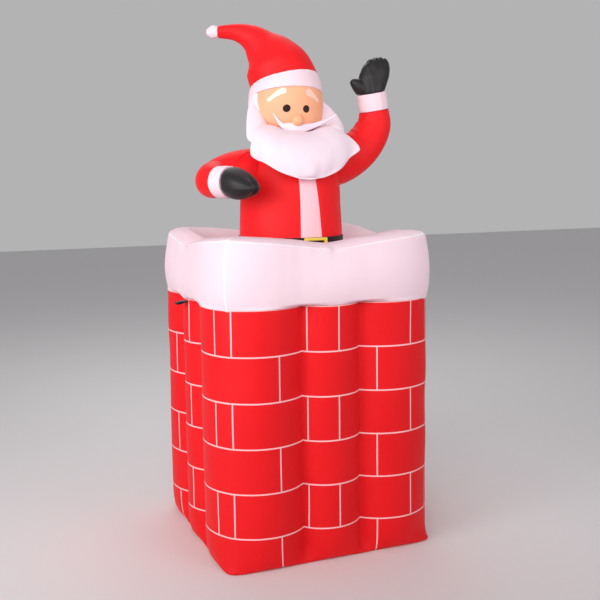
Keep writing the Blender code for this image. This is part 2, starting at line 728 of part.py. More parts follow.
def main():
    clear_scene()
    build_chimney()
    build_snow_cap()
    build_tab()
    coat = build_coat()
    coat_cutter = grown_copy(coat, GAP)
    belt, belt_cutter = build_belt(coat_cutter)
    build_buckle(belt_cutter)
    arm_cutters = build_sleeve("sleeve_right", RIGHT_UPPER_ARM, RIGHT_ARM, RIGHT_FOREARM, coat_cutter)
    arm_cutters += build_sleeve("sleeve_left", LEFT_UPPER_ARM, LEFT_ARM, LEFT_FOREARM, coat_cutter)
    build_cuff("cuff_right", RIGHT_ARM, RIGHT_FOREARM, RIGHT_CUFF_LENGTH)
    build_cuff("cuff_left", LEFT_ARM, LEFT_FOREARM, LEFT_CUFF_LENGTH)
    curled_thumb = (0.20, CURLED_THUMB_LENGTH, CURLED_THUMB_RADIUS, math.radians(8), 0.35)
    build_glove("glove_right", RIGHT_ARM, RIGHT_FOREARM, RIGHT_CUFF_LENGTH, RIGHT_HAND,
                CURLED_HAND, CURLED_HAND_LENGTH, (0, 0, -1), curled_thumb)
    open_thumb = (0.06, OPEN_THUMB_LENGTH, OPEN_THUMB_RADIUS, math.radians(54), 0.0)
    build_glove("glove_left", LEFT_ARM, LEFT_FOREARM, LEFT_CUFF_LENGTH, LEFT_HAND,
                OPEN_HAND, OPEN_HAND_LENGTH, (-1, 0, 0), open_thumb)
    face, hair, head_cutter = build_head()
    nose, nose_cutter = build_nose(head_cutter)
    build_hat()
    beard, beard_cutter = build_beard([coat_cutter, head_cutter] + arm_cutters)
    build_moustache([head_cutter, nose_cutter, beard_cutter])


main()
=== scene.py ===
"""Looks of a blow-up figure that waves out of a brick-printed chimney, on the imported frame."""
import math

import bmesh
import bpy
import numpy as np
from mathutils import Matrix, Vector


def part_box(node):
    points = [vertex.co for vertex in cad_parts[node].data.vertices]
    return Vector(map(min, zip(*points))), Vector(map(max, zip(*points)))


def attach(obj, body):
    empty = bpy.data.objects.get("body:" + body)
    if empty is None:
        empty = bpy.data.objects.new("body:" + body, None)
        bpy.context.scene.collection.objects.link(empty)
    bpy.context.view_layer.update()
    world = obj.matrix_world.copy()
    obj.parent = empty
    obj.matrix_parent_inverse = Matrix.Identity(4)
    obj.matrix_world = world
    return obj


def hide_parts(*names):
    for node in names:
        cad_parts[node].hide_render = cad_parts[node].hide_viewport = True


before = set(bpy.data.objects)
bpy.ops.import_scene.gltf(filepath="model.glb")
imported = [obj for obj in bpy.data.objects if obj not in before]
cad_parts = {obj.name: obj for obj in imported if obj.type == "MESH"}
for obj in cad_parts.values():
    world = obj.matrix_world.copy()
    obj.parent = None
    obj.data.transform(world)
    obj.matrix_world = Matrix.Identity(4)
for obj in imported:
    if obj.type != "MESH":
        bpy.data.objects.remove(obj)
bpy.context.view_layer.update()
bpy.ops.object.select_all(action="DESELECT")

# Where the camera stood, as fitted to the chimney's seams and brick joints
CAMERA_PLACE = (-1.0077, -2.6059, 1.1304)
CAMERA_PITCH = math.radians(-8.04)
CAMERA_YAW = math.radians(21.69)
CAMERA_ROLL = math.radians(-0.679)
CAMERA_LENS = 52.66
SENSOR = 36.0

# The chimney, in metres
CHIMNEY_TOP = 0.765
HALF_WIDTH = 0.3526
LOBE_RISE = 0.045
CREASE = 0.0906
TAPER = 0.0114
BASE_HALF = 0.332
BASE_SQUARENESS = 15
BASE_DRAW = 0.085
# Rounded edge under the base: how far it reaches in, and up
BASE_TUCK = 0.008
BASE_EDGE = 0.006
# Where the middle lobe starts and ends, as shares of one side of the cloth
MIDDLE_LOBE = (0.348, 0.652)
COURSE = 0.1318
JOINT_WIDTH = 0.0040

# The snow
SNOW_SIDE = 0.161
SNOW_BULGE = 0.014
SNOW_SQUARENESS = 5
SNOW_LOBES = 0.03
SNOW_LOBE_END = 0.07
SNOW_CORNER_LIFT = 0.027
SNOW_CROWN_RISE = 0.012
SNOW_CROWN_INSET = 0.062
SNOW_DRAW = 0.004
SNOW_SIDE_ROWS = 60
# Where the coat stands in the snow's dish: radius of the dish's floor, and its height
SEAT_HOLE = 0.1826
SEAT = 0.898

# Steps round each lobe, gap between sewn pieces, and the least angle that is shaded as an edge
COLUMN_STEPS = 20
GAP = 0.0003
SHARP = math.radians(50)


def uneven(place, seed, period=None):
    """Smooth uneven values from -1 to 1 with one knot for each unit of place."""
    count = int(period) if period else 512
    knots = np.random.default_rng(seed).uniform(-1, 1, count)
    low = np.floor(place).astype(int)
    part = place - low
    part = part * part * (3 - 2 * part)
    return knots[low % count] * (1 - part) + knots[(low + 1) % count] * part


def uneven_sheet(across, along, seed, period=None):
    """Smooth uneven values over two directions, with one knot for each unit of each."""
    count = int(period) if period else 64
    knots = np.random.default_rng(seed).uniform(-1, 1, (count, 64))
    a, b = np.floor(across).astype(int), np.floor(along).astype(int)
    s, t = across - a, along - b
    s, t = s * s * (3 - 2 * s), t * t * (3 - 2 * t)
    near = knots[a % count, b % 64] * (1 - s) + knots[(a + 1) % count, b % 64] * s
    far = knots[a % count, (b + 1) % 64] * (1 - s) + knots[(a + 1) % count, (b + 1) % 64] * s
    return near * (1 - t) + far * t


def fade(distance, reach):
    """1 at a seam, falling off away from it."""
    return np.exp(-distance / reach)


def bell(distance, width):
    """1 at a line, falling off on both sides of it."""
    return np.exp(-(distance / width) ** 2)


def eased(count):
    """Shares from 0 to 1, closer together towards both ends."""
    return (1 - np.cos(np.linspace(0, math.pi, count))) / 2


def full_turn(count):
    """Even steps of one turn, in radians."""
    return np.linspace(0, 2 * math.pi, count, endpoint=False)


def unit_rows(rows):
    """Each row brought to length 1."""
    return rows / np.linalg.norm(rows, axis=1, keepdims=True)


def direction(x, y, z):
    """Unit direction as an array."""
    return np.array(Vector((x, y, z)).normalized())


def seat_point(x, y, z):
    """Place given by its height above the seat."""
    return np.array((x, y, SEAT + z))


def tuck(distance, radius):
    """Inward move that rounds an edge over towards its seam."""
    inside = np.clip(1 - distance / radius, 0, 1)
    return -radius * (1 - np.sqrt(1 - inside ** 2))


def puckers(distance, place, spacing, depth, reach, seed, length=None):
    """Small folds that run away from a seam, each with its own length.

    The distance is from the seam and the place is along it. Spacing, depth and reach are those of a fold.
    The length is that of a seam which closes on itself.
    """
    period = max(round(length / spacing), 3) if length else None
    step = place / length * period if length else place / spacing
    own_reach = reach * (0.65 + 0.45 * uneven(step + 0.37, seed + 1, period))
    fold = uneven(step, seed, period)
    start = 1 - fade(distance, 0.12 * reach)
    return depth * fold * start * fade(distance, own_reach)


def step_up(value, low, high):
    """0 below the low value and 1 above the high one, smooth between them."""
    part = np.clip((value - low) / (high - low), 0, 1)
    return part * part * (3 - 2 * part)


def curve_rows(keys, count, even=False):
    """Rows along a smooth curve through the keys, closer together towards both ends."""
    keys = np.array(keys, float)
    fine = []
    last = len(keys) - 1
    for i in range(last):
        a, b, c, d = keys[max(i - 1, 0)], keys[i], keys[i + 1], keys[min(i + 2, last)]
        for t in np.linspace(0, 1, 24, endpoint=False):
            slope = 2 * b + (c - a) * t + (2 * a - 5 * b + 4 * c - d) * t * t
            fine.append(0.5 * (slope + (3 * b - a - 3 * c + d) * t ** 3))
    fine = np.array(fine + [keys[last]])
    steps = np.linalg.norm(np.diff(fine, axis=0), axis=1)
    run = np.concatenate([[0], np.cumsum(steps)])
    share = np.linspace(0, 1, count)
    if not even:
        share = 0.35 * share + 0.65 * (1 - np.cos(math.pi * share)) / 2
    return np.stack([np.interp(share * run[-1], run, fine[:, k]) for k in range(keys.shape[1])], axis=1)


def placed(name, data):
    """Object with this data, in the scene."""
    item = bpy.data.objects.new(name, data)
    bpy.context.scene.collection.objects.link(item)
    return item


class Cloth:
    """A skin of cloth through rings of points, with the distance round it and along it."""

    def __init__(self, name, rings):
        self.name = name
        self.rings = np.array(rings, float)
        rows, sides, _ = self.rings.shape
        steps = np.linalg.norm(np.roll(self.rings, -1, axis=1) - self.rings, axis=2)
        widest = steps[np.argmax(steps.sum(axis=1))]
        self.round = np.concatenate([[0], np.cumsum(widest)])
        self.girth = self.round[-1]
        runs = np.linalg.norm(np.diff(self.rings, axis=0), axis=2).mean(axis=1)
        self.run = np.concatenate([[0], np.cumsum(runs)])
        self.length = self.run[-1]
        self.across = np.tile(self.round[:-1], (rows, 1))
        self.along = np.tile(self.run[:, None], (1, sides))
        self.left = self.length - self.along

    def normals(self):
        """Outward directions of the rings' points."""
        ahead = np.roll(self.rings, -1, axis=1) - np.roll(self.rings, 1, axis=1)
        up = np.gradient(self.rings, axis=0)
        out = np.cross(ahead, up)
        centre = self.rings.mean(axis=1, keepdims=True)
        turn = np.sign(((self.rings - centre) * out).sum(axis=2).mean())
        size = np.linalg.norm(out, axis=2, keepdims=True)
        return turn * out / np.maximum(size, 1e-9)

    def move(self, amount):
        """Moves each point outwards by its own amount."""
        self.rings = self.rings + self.normals() * amount[..., None]
        return self

    def gathers(self, distance, spacing, depth, reach, seed):
        """Puckers at a seam that runs round the cloth."""
        return puckers(distance, self.across, spacing, depth, reach, seed, self.girth)

    def waver(self, depth, count, spacing, seed):
        """Uneven swelling, with this count of knots round the cloth and this spacing along it."""
        return depth * uneven_sheet(self.across / self.girth * count, self.along / spacing, seed, count)

    def to_edge(self):
        """Distance to the nearer end."""
        return np.minimum(self.along, self.left)

    def made(self):
        """The mesh object, closed by a point at each end, with its cloth's own UV map in metres."""
        rows, sides, _ = self.rings.shape
        points = self.rings.reshape(-1, 3).tolist()
        faces, marks = [], []
        for i in range(rows - 1):
            for j in range(sides):
                k = (j + 1) % sides
                faces.append((i * sides + j, i * sides + k, (i + 1) * sides + k, (i + 1) * sides + j))
                a, b = self.round[j:j + 2]
                low, high = self.run[i:i + 2]
                marks += [(a, low), (b, low), (b, high), (a, high)]
        for end in (0, rows - 1):
            points.append(self.rings[end].mean(axis=0).tolist())
            for j in range(sides):
                faces.append((end * sides + j, end * sides + (j + 1) % sides, len(points) - 1))
                a, b = self.round[j:j + 2]
                marks += [(place, self.run[end]) for place in (a, b, (a + b) / 2)]
        mesh = bpy.data.meshes.new(self.name)
        mesh.from_pydata(points, [], faces)
        layer = mesh.uv_layers.new(name="cloth")
        layer.data.foreach_set("uv", np.array(marks, float).ravel())
        form = bmesh.new()
        form.from_mesh(mesh)
        bmesh.ops.recalc_face_normals(form, faces=form.faces)
        form.to_mesh(mesh)
        form.free()
        mesh.shade_smooth()
        return placed(self.name, mesh)


def tube_rings(centres, radii, sides, side, first=None, final=None, turn_lengths=(0.03, 0.03), span=0.0):
    """Round rings along a middle line, turned gradually to the directions wanted at its ends."""
    centres = np.array(centres, float)
    along = np.gradient(centres, axis=0)
    run = np.concatenate([[0], np.cumsum(np.linalg.norm(np.diff(centres, axis=0), axis=1))])
    if span:
        along = np.stack([np.interp(run + span, run, line) - np.interp(run - span, run, line)
                          for line in centres.T], axis=1)
    along = unit_rows(along)
    for wanted, distance, turn_length in zip((first, final), (run, run[-1] - run), turn_lengths):
        if wanted is not None:
            goal = np.array(Vector(wanted).normalized())
            share = np.clip(1 - distance / turn_length, 0, 1)[:, None]
            along = unit_rows(along * (1 - share) + goal * share)
    across = unit_rows(np.cross(along, np.array(side, float)))
    level = np.cross(across, along)
    turns = full_turn(sides)[None, :, None]
    around = np.cos(turns) * level[:, None, :] + np.sin(turns) * across[:, None, :]
    return centres[:, None, :] + around * np.array(radii)[:, None, None]


def pick(*items):
    """Selects these objects alone, with the first one active."""
    bpy.ops.object.select_all(action="DESELECT")
    for item in items:
        item.select_set(True)
    bpy.context.view_layer.objects.active = items[0]


def subdivided(cuts):
    """Divides each edge of the active object, with its faces turned outwards."""
    bpy.ops.object.mode_set(mode="EDIT")
    bpy.ops.mesh.select_all(action="SELECT")
    bpy.ops.mesh.normals_make_consistent(inside=False)
    bpy.ops.mesh.subdivide(number_cuts=cuts)
    bpy.ops.object.mode_set(mode="OBJECT")


def settled(name, scale=(1, 1, 1)):
    """Names the new active object, applies its place, turn and size, and gives it."""
    item = bpy.context.active_object
    item.name = name
    item.scale = scale
    bpy.ops.object.transform_apply(location=True, rotation=True, scale=True)
    return item


def modify(item, name, kind, **settings):
    """Adds a modifier with its settings."""
    modifier = item.modifiers.new(name, kind)
    for setting, value in settings.items():
        setattr(modifier, setting, value)


def apply_all(item):
    """Applies the piece's modifiers from the top down."""
    pick(item)
    for modifier in list(item.modifiers):
        bpy.ops.object.modifier_apply(modifier=modifier.name)


def fused(items, voxel, rounds):
    """One skin from overlapping cloth forms: joined, remeshed and smoothed over the join."""
    pick(*items)
    bpy.ops.object.join()
    item = bpy.context.view_layer.objects.active
    modify(item, "one skin", "REMESH", mode="VOXEL", voxel_size=voxel)
    modify(item, "relaxed", "SMOOTH", factor=0.5, iterations=rounds)
    apply_all(item)
    item.data.shade_smooth()
    return item


def trimmed(item, *others):
    """Takes the neighbours' space out of a piece, so that the cloth meets at a seam line."""
    for other in others:
        modify(item, "trim", "BOOLEAN", operation="DIFFERENCE", solver="EXACT", object=other)
    apply_all(item)
    item.data.set_sharp_from_angle(angle=SHARP)
    return item


def vertex_places(item):
    """The piece's points and outward directions as arrays."""
    count = len(item.data.vertices)
    places, normals = np.empty(count * 3), np.empty(count * 3)
    item.data.vertices.foreach_get("co", places)
    item.data.vertex_normals.foreach_get("vector", normals)
    return places.reshape(-1, 3), normals.reshape(-1, 3)


def push(item, amounts):
    """Moves each point of a finished skin along its outward direction."""
    places, normals = vertex_places(item)
    item.data.vertices.foreach_set("co", (places + normals * amounts[:, None]).ravel())
    item.data.update()


# Camera, floor and light


def linear(hex_colour):
    """Linear red, green, blue and full alpha of an sRGB hex colour."""
    values = [int(hex_colour[i:i + 2], 16) / 255 for i in (1, 3, 5)]
    return (*[v / 12.92 if v <= 0.04045 else ((v + 0.055) / 1.055) ** 2.4 for v in values], 1.0)


def node(tree, kind, inputs=(), output=0, **settings):
    """Adds a shader node, fills its inputs from values or other nodes' outputs, and gives one output.

    The kind may name an operation too, as in "Math ADD".
    """
    kind, _, operation = kind.partition(" ")
    made = tree.nodes.new("ShaderNode" + kind)
    if operation:
        made.operation = operation
    for name, value in settings.items():
        setattr(made, name, value)
    pairs = inputs.items() if isinstance(inputs, dict) else enumerate(inputs)
    for name, value in pairs:
        if isinstance(value, bpy.types.NodeSocket):
            tree.links.new(value, made.inputs[name])
        else:
            made.inputs[name].default_value = value
    return made.outputs[output]


def set_camera():
    """Camera where the photograph's stood, with its lens."""
    data = bpy.data.cameras.new("camera")
    data.sensor_width = SENSOR
    data.lens = CAMERA_LENS
    camera = placed("camera", data)
    forward = Vector((
        math.sin(CAMERA_YAW) * math.cos(CAMERA_PITCH),
        math.cos(CAMERA_YAW) * math.cos(CAMERA_PITCH),
        math.sin(CAMERA_PITCH),
    ))
    level = Vector((math.cos(CAMERA_YAW), -math.sin(CAMERA_YAW), 0))
    rise = level.cross(forward)
    right = level * math.cos(CAMERA_ROLL) + rise * math.sin(CAMERA_ROLL)
    up = rise * math.cos(CAMERA_ROLL) - level * math.sin(CAMERA_ROLL)
    turn = Matrix((right, up, -forward)).transposed().to_4x4()
    turn.translation = CAMERA_PLACE
    camera.matrix_world = turn
    bpy.context.scene.camera = camera


def set_light(name, place, aim, size, power, spread, colour):
    """Round soft box, whose grid keeps its light within the spread."""
    data = bpy.data.lights.new(name, "AREA")
    data.shape = "DISK"
    data.size = size
    data.energy = power
    data.spread = math.radians(spread)
    data.color = colour
    lamp = placed(name, data)
    lamp.location = place
    lamp.rotation_mode = "QUATERNION"
    lamp.rotation_quaternion = (Vector(aim) - Vector(place)).to_track_quat("-Z", "Y")


# Strength of the surroundings as light, and as the backdrop that the camera sees
WORLD_LIGHT = 0.40
BACKDROP_LIGHT = 0.50
# Soft boxes: name, place, aim, width, power in watts, spread in degrees, and colour
WARM = (1.0, 0.985, 0.98)
LIGHTS = (
    ("key", (-1.7, -2.8, 2.6), (-0.1, 0, 1.5), 3.2, 14.5, 70, WARM),
    ("fill", (2.0, -3.1, 2.1), (0, 0, 1.65), 2.6, 7.2, 60, WARM),
    ("side", (-3.1, -1.2, 1.5), (-0.3, 0, 1.15), 2.0, 18, 90, WARM),
    ("top", (0.4, 1.8, 3.6), (0, 0, 1.0), 2.5, 28, 180, (1.0, 1.0, 1.0)),
)


def set_studio():
    """Plain pale floor under an even sky, soft key and side light from the left, fill and top light."""
    world = bpy.data.worlds.new("studio")
    world.use_nodes = True
    back = world.node_tree.nodes["Background"]
    back.inputs["Color"].default_value = linear("#F4F3F5")
    seen = node(world.node_tree, "LightPath", output="Is Camera Ray")
    limits = {"Value": seen, "To Min": WORLD_LIGHT, "To Max": BACKDROP_LIGHT}
    strength = node(world.node_tree, "MapRange", limits)
    world.node_tree.links.new(strength, back.inputs["Strength"])
    bpy.context.scene.world = world
    bpy.context.scene.view_settings.view_transform = "Standard"
    for light in LIGHTS:
        set_light(*light)
    bpy.ops.mesh.primitive_plane_add(size=24, location=(0, 0, 0))
    floor = bpy.context.active_object
    floor.name = "floor"
    paint = bpy.data.materials.new("matt pale floor")
    paint.use_nodes = True
    shader = paint.node_tree.nodes["Principled BSDF"]
    shader.inputs["Base Color"].default_value = linear("#E9E7E8")
    shader.inputs["Roughness"].default_value = 0.9
    floor.data.materials.append(paint)


# Materials


# Threads of the woven nylon are 0.3 mm apart. They are drawn 2.4 mm apart, to show in the render
THREAD = 0.0024


def nylon(name, light, deep, roughness=0.55, sheen=0.05, specular=0.2, uv=True):
    """Taffeta nylon that air holds tight: dull gloss, faint weave, fine crinkles, slight clouding."""
    made = bpy.data.materials.new(name)
    made.use_nodes = True
    tree = made.node_tree
    shader = tree.nodes["Principled BSDF"]
    place = node(tree, "TexCoord", output="Object")
    clouds = node(tree, "TexNoise", {"Vector": place, "Scale": 5.0, "Detail": 3.0})
    colour = node(tree, "Mix", {0: clouds, 6: linear(deep), 7: linear(light)}, 2, data_type="RGBA")
    tree.links.new(colour, shader.inputs["Base Color"])
    crinkles = node(tree, "TexNoise", {"Vector": place, "Scale": 42.0, "Detail": 4.0, "Distortion": 0.6})
    threads = node(tree, "TexCoord", output="UV") if uv else place
    waves = []
    for axis in ("X", "Y" if uv else "Z"):
        run = node(tree, "SeparateXYZ", [threads], axis)
        turn = node(tree, "Math MULTIPLY", [run, 2 * math.pi / THREAD])
        waves.append(node(tree, "Math SINE", [turn]))
    weave = node(tree, "Math MULTIPLY", waves)
    folded = node(tree, "Bump", {"Height": crinkles, "Distance": 0.0010, "Strength": 0.5})
    woven = node(tree, "Bump", {"Height": weave, "Distance": 0.00006, "Strength": 0.5, "Normal": folded})
    tree.links.new(woven, shader.inputs["Normal"])
    limits = {"Value": crinkles, "To Min": roughness - 0.06, "To Max": roughness + 0.06}
    tree.links.new(node(tree, "MapRange", limits), shader.inputs["Roughness"])
    values = {"IOR": 1.53, "Specular IOR Level": specular, "Sheen Weight": sheen, "Sheen Roughness": 0.35}
    for name, value in values.items():
        shader.inputs[name].default_value = value
    return made


def painted(made, mask, colour):
    """Prints a colour on the cloth where the mask is 1."""
    tree = made.node_tree
    socket = tree.nodes["Principled BSDF"].inputs["Base Color"]
    below = socket.links[0].from_socket
    print_over = node(tree, "Mix", {0: mask, 6: below, 7: linear(colour)}, 2, data_type="RGBA")
    tree.links.new(print_over, socket)


def soft_mask(tree, distance, half, blur):
    """Where a line or mark of this half width is printed, with a soft edge."""
    return node(tree, "MapRange", {"Value": distance, "From Min": half + blur, "From Max": half - blur})


# Upright joints of even and of odd courses, as shares of one side from its left corner seam
EVEN_JOINTS = (0.012, 0.375, 0.51, 0.888)
ODD_JOINTS = (0.21, 0.73)
# The left side's panel is sewn in a little further along
LEFT_SHIFT = 0.04


def print_bricks(made, face_width):
    """Joint lines printed on the cloth, laid out alike on each side of the chimney."""
    tree = made.node_tree
    threads = node(tree, "TexCoord", output="UV")
    across = node(tree, "SeparateXYZ", [threads], "X")
    height = node(tree, "SeparateXYZ", [threads], "Y")
    depth = node(tree, "Math SUBTRACT", [CHIMNEY_TOP, height])
    level = node(tree, "Math PINGPONG", [depth, COURSE / 2])
    course = node(tree, "Math DIVIDE", [depth, COURSE])
    course = node(tree, "Math FLOOR", [course])
    odd = node(tree, "Math MODULO", [course, 2.0])
    left_side = node(tree, "Math GREATER_THAN", [across, face_width * 3])
    shift = node(tree, "Math MULTIPLY", [left_side, LEFT_SHIFT * face_width])
    across = node(tree, "Math SUBTRACT", [across, shift])
    spot = node(tree, "Math WRAP", [across, face_width, 0.0])
    distances = []
    for joints in (EVEN_JOINTS, ODD_JOINTS):
        nearest = None
        for share in joints:
            away = node(tree, "Math SUBTRACT", [spot, share * face_width])
            away = node(tree, "Math ABSOLUTE", [away])
            nearest = node(tree, "Math MINIMUM", [nearest, away]) if nearest else away
        distances.append(nearest)
    upright = node(tree, "Mix", {0: odd, 2: distances[0], 3: distances[1]}, data_type="FLOAT")
    line = node(tree, "Math MINIMUM", [upright, level])
    painted(made, soft_mask(tree, line, JOINT_WIDTH / 2, 0.0008), "#FFC6CA")


# The chimney and its snow


def arc(centre, radius, low, high):
    """Points of the plan along an arc, without its last one."""
    turns = np.linspace(low, high, COLUMN_STEPS, endpoint=False)
    return np.array(centre) + radius * np.stack([np.cos(turns), np.sin(turns)], axis=1)


def column_face():
    """Plan of the front side from its left corner seam to its right one."""
    crease = HALF_WIDTH - LOBE_RISE
    centre = (crease + CREASE) / 2
    corner_radius = (crease - CREASE) / math.sqrt(2)
    middle_radius = (CREASE ** 2 + LOBE_RISE ** 2) / (2 * LOBE_RISE)
    middle_half = math.asin(CREASE / middle_radius)
    front = -math.pi / 2
    eighth = math.pi / 4
    middle = (0, middle_radius - HALF_WIDTH)
    return np.concatenate([
        arc((-centre, -centre), corner_radius, front - eighth, front + eighth),
        arc(middle, middle_radius, front - middle_half, front + middle_half),
        arc((centre, -centre), corner_radius, front - eighth, front + eighth),
    ])


def column_plan():
    """Plan of all four sides, anticlockwise from the front's left corner seam."""
    side = column_face()
    sides = []
    for quarter in range(4):
        turn = quarter * math.pi / 2
        x = side[:, 0] * math.cos(turn) - side[:, 1] * math.sin(turn)
        y = side[:, 0] * math.sin(turn) + side[:, 1] * math.cos(turn)
        sides.append(np.stack([x, y], axis=1))
    return np.concatenate(sides)


def plan_ring(plan, height, inset=0.0, square=None, lobes=1.0):
    """One level of the column, as in the solids: lobes over a rounded square, drawn in by the inset."""
    distance = np.linalg.norm(plan, axis=1)
    reach = distance.copy()
    if square:
        half, squareness = square
        spread = np.abs(plan / distance[:, None]) ** squareness
        flat = half / spread.sum(axis=1) ** (1 / squareness)
        reach = flat + (distance - flat) * lobes
    share = (reach - inset) / distance * (1 + TAPER * (CHIMNEY_TOP - height))
    return np.concatenate([plan * share[:, None], np.broadcast_to(height, distance.shape)[:, None]], axis=1)


def make_chimney():
    """Red column of lobes, drawn in at its base and tucked under the snow."""
    plan = column_plan()
    base = (BASE_HALF, BASE_SQUARENESS)
    low = np.linspace(0.002, BASE_DRAW, 34)
    high = np.linspace(BASE_DRAW, CHIMNEY_TOP - GAP, 100)[1:]
    heights = np.concatenate([[0.0, 0.0], low, high])
    rings = []
    for i, height in enumerate(heights):
        share = min(max((height - BASE_EDGE) / (BASE_DRAW - BASE_EDGE), 0), 1)
        inset = BASE_TUCK * (1 - min(height / BASE_EDGE, 1)) ** 2 if i else 0.05
        lobes = math.sqrt(1 - (1 - share) ** 2)
        rings.append(plan_ring(plan, height, inset, None if height >= BASE_DRAW else base, lobes))
    cloth = Cloth("chimney_cloth", rings)
    cloth.run = heights
    height = cloth.along = np.tile(heights[:, None], (1, len(plan)))
    face = cloth.girth / 4
    spot = cloth.across % face
    to_crease = np.minimum(*[np.abs(spot - face * share) for share in MIDDLE_LOBE])
    to_corner = np.minimum(spot, face - spot)
    amount = cloth.gathers(CHIMNEY_TOP - height, 0.017, 0.0016, 0.05, 11)
    amount += cloth.gathers(height, 0.016, 0.0030, 0.06, 21) * step_up(height, 0.004, 0.02)
    amount += puckers(to_crease, height, 0.034, 0.0016, 0.03, 31)
    amount += 0.003 * fade(to_corner, 0.03)
    amount += puckers(to_corner, height, 0.03, 0.0009, 0.02, 41)
    amount += cloth.waver(0.0016, 32, 0.11, 51)
    amount[:3] = 0
    return cloth.move(amount).made(), face


def snow_seam(plan):
    """Height of the sewn edge round the snow's top."""
    turn = np.arctan2(plan[:, 1], plan[:, 0])
    return CHIMNEY_TOP + SNOW_SIDE + SNOW_CORNER_LIFT * np.abs(np.sin(2 * turn)) ** 1.5


def make_snow():
    """White cap: bulging sides, seams at its corners and round its top, and a dished crown."""
    plan = column_plan()
    square = (HALF_WIDTH, SNOW_SQUARENESS)
    seam = snow_seam(plan)
    rings = [plan_ring(plan, CHIMNEY_TOP, 0.02, square)]
    for share in np.linspace(0, 1, SNOW_SIDE_ROWS) ** 1.35:
        swell = SNOW_BULGE * math.sin(math.pi * share ** 0.8)
        lobes = SNOW_LOBES + (1 - SNOW_LOBES) * max(0, 1 - share / SNOW_LOBE_END) ** 2
        level = CHIMNEY_TOP + (seam - CHIMNEY_TOP) * share
        rings.append(plan_ring(plan, level, SNOW_DRAW * share - swell, square, lobes))
    for share in np.linspace(0.04, 1.15, 22):
        rise = math.sin(min(share / 0.75, 1) * math.pi / 2)
        level = seam + SNOW_CROWN_RISE * rise
        rings.append(plan_ring(plan, level, SNOW_DRAW + SNOW_CROWN_INSET * share, square, SNOW_LOBES))
    crown = rings[-1]
    distance = np.linalg.norm(crown[:, :2], axis=1)
    for share in np.linspace(0.03, 1, 44):
        fall = step_up(share, -0.12, 1.02)
        reach = distance + (SEAT_HOLE - distance) * share
        flat = crown[:, :2] * (reach / distance)[:, None]
        level = crown[:, 2] + (SEAT - crown[:, 2]) * fall
        rings.append(np.concatenate([flat, level[:, None]], axis=1))
    cloth = Cloth("snow_cloth", rings)
    face = cloth.girth / 4
    spot = cloth.across % face
    to_corner = np.minimum(spot, face - spot)
    to_middle = np.abs(spot - face / 2)
    seam_run = cloth.run[SNOW_SIDE_ROWS]
    above = cloth.along - seam_run
    below = cloth.along - cloth.run[1]
    amount = tuck(below, 0.001)
    amount += cloth.gathers(below, 0.022, 0.0012, 0.04, 61) * (below > 0)
    amount += -0.0015 * bell(above, 0.004)
    amount += cloth.gathers(np.abs(above), 0.019, 0.0021, 0.03, 71)
    amount += 0.008 * (fade(to_corner, 0.035) * fade(np.maximum(above, 0), 0.03))
    amount += puckers(to_corner, cloth.along, 0.026, 0.0014, 0.03, 81)
    amount += -0.004 * bell(above, 0.02) * fade(to_middle, 0.011)
    amount += cloth.waver(0.0022, 24, 0.09, 91)
    amount[[0, -1]] = 0
    return cloth.move(amount).made(), face, seam_run


# The figure


# Coat from the seat up: height, half width and half depth
COAT_PROFILE = [
    (0.000, 0.160, 0.160),
    (0.050, 0.162, 0.162),
    (0.170, 0.158, 0.155),
    (0.232, 0.151, 0.143),
    (0.280, 0.136, 0.126),
    (0.320, 0.108, 0.102),
    (0.3515, 0.074, 0.074),
]
# Front strip: half width, widening and lean for each metre of height, and its middle at the level
STRIP_HALF = 0.0300
STRIP_SPREAD = 0.045
STRIP_MIDDLE = 0.0025
STRIP_LEAN = -0.038
STRIP_LEVEL = 1.05


def round_rings(rows, sides, centre=(0.0, 0.0)):
    """Level elliptical rings from rows of height above the seat, half width and half depth."""
    turns = full_turn(sides) - math.pi / 2
    rings = []
    for z, half_width, half_depth in rows:
        x = centre[0] + half_width * np.cos(turns)
        y = centre[1] + half_depth * np.sin(turns)
        rings.append(np.stack([x, y, np.full(sides, SEAT + z)], axis=1))
    return rings


def make_coat():
    """Red body, gathered at the belt and neck, with a seam at each edge of its strip and one behind."""
    cloth = Cloth("coat_cloth", round_rings(curve_rows(COAT_PROFILE, 120), 200))
    x, y, z = np.moveaxis(cloth.rings, 2, 0)
    amount = tuck(cloth.left, 0.008)
    amount += cloth.gathers(cloth.along, 0.021, 0.0016, 0.05, 101)
    amount += cloth.gathers(cloth.left, 0.02, 0.0028, 0.06, 111)
    off = x - STRIP_MIDDLE - STRIP_LEAN * (z - STRIP_LEVEL)
    strip_edge = np.abs(np.abs(off) - STRIP_HALF + STRIP_SPREAD * (z - STRIP_LEVEL))
    amount += np.where(y < 0, -0.0009 * bell(strip_edge, 0.0028), -0.0012 * bell(x, 0.003))
    amount += cloth.waver(0.0014, 12, 0.07, 121)
    return cloth.move(amount).made()


# Head about its upright axis, from the neck up: height and radius
HEAD_AXIS = (-0.005, 0.015)
HEAD_PROFILE = [
    (0.3518, 0.072),
    (0.376, 0.092),
    (0.410, 0.108),
    (0.447, 0.116),
    (0.480, 0.1145),
    (0.525, 0.110),
]
BAND_CENTRE = seat_point(-0.0055, 0.015, 0.476)
BAND_NORMAL = direction(0.0, 0.213, 1.0)
BAND_TOP_NORMAL = direction(-0.116, 0.259, 1.0)
BAND_RADIUS = 0.1145
BAND_HEIGHT = 0.049
BAND_SWELL = 0.004
# Plane between the face and the hair: a place on it, and its lean
FACE_CUT = (0, -0.032, SEAT + 0.41)
FACE_CUT_LEAN = 0.12
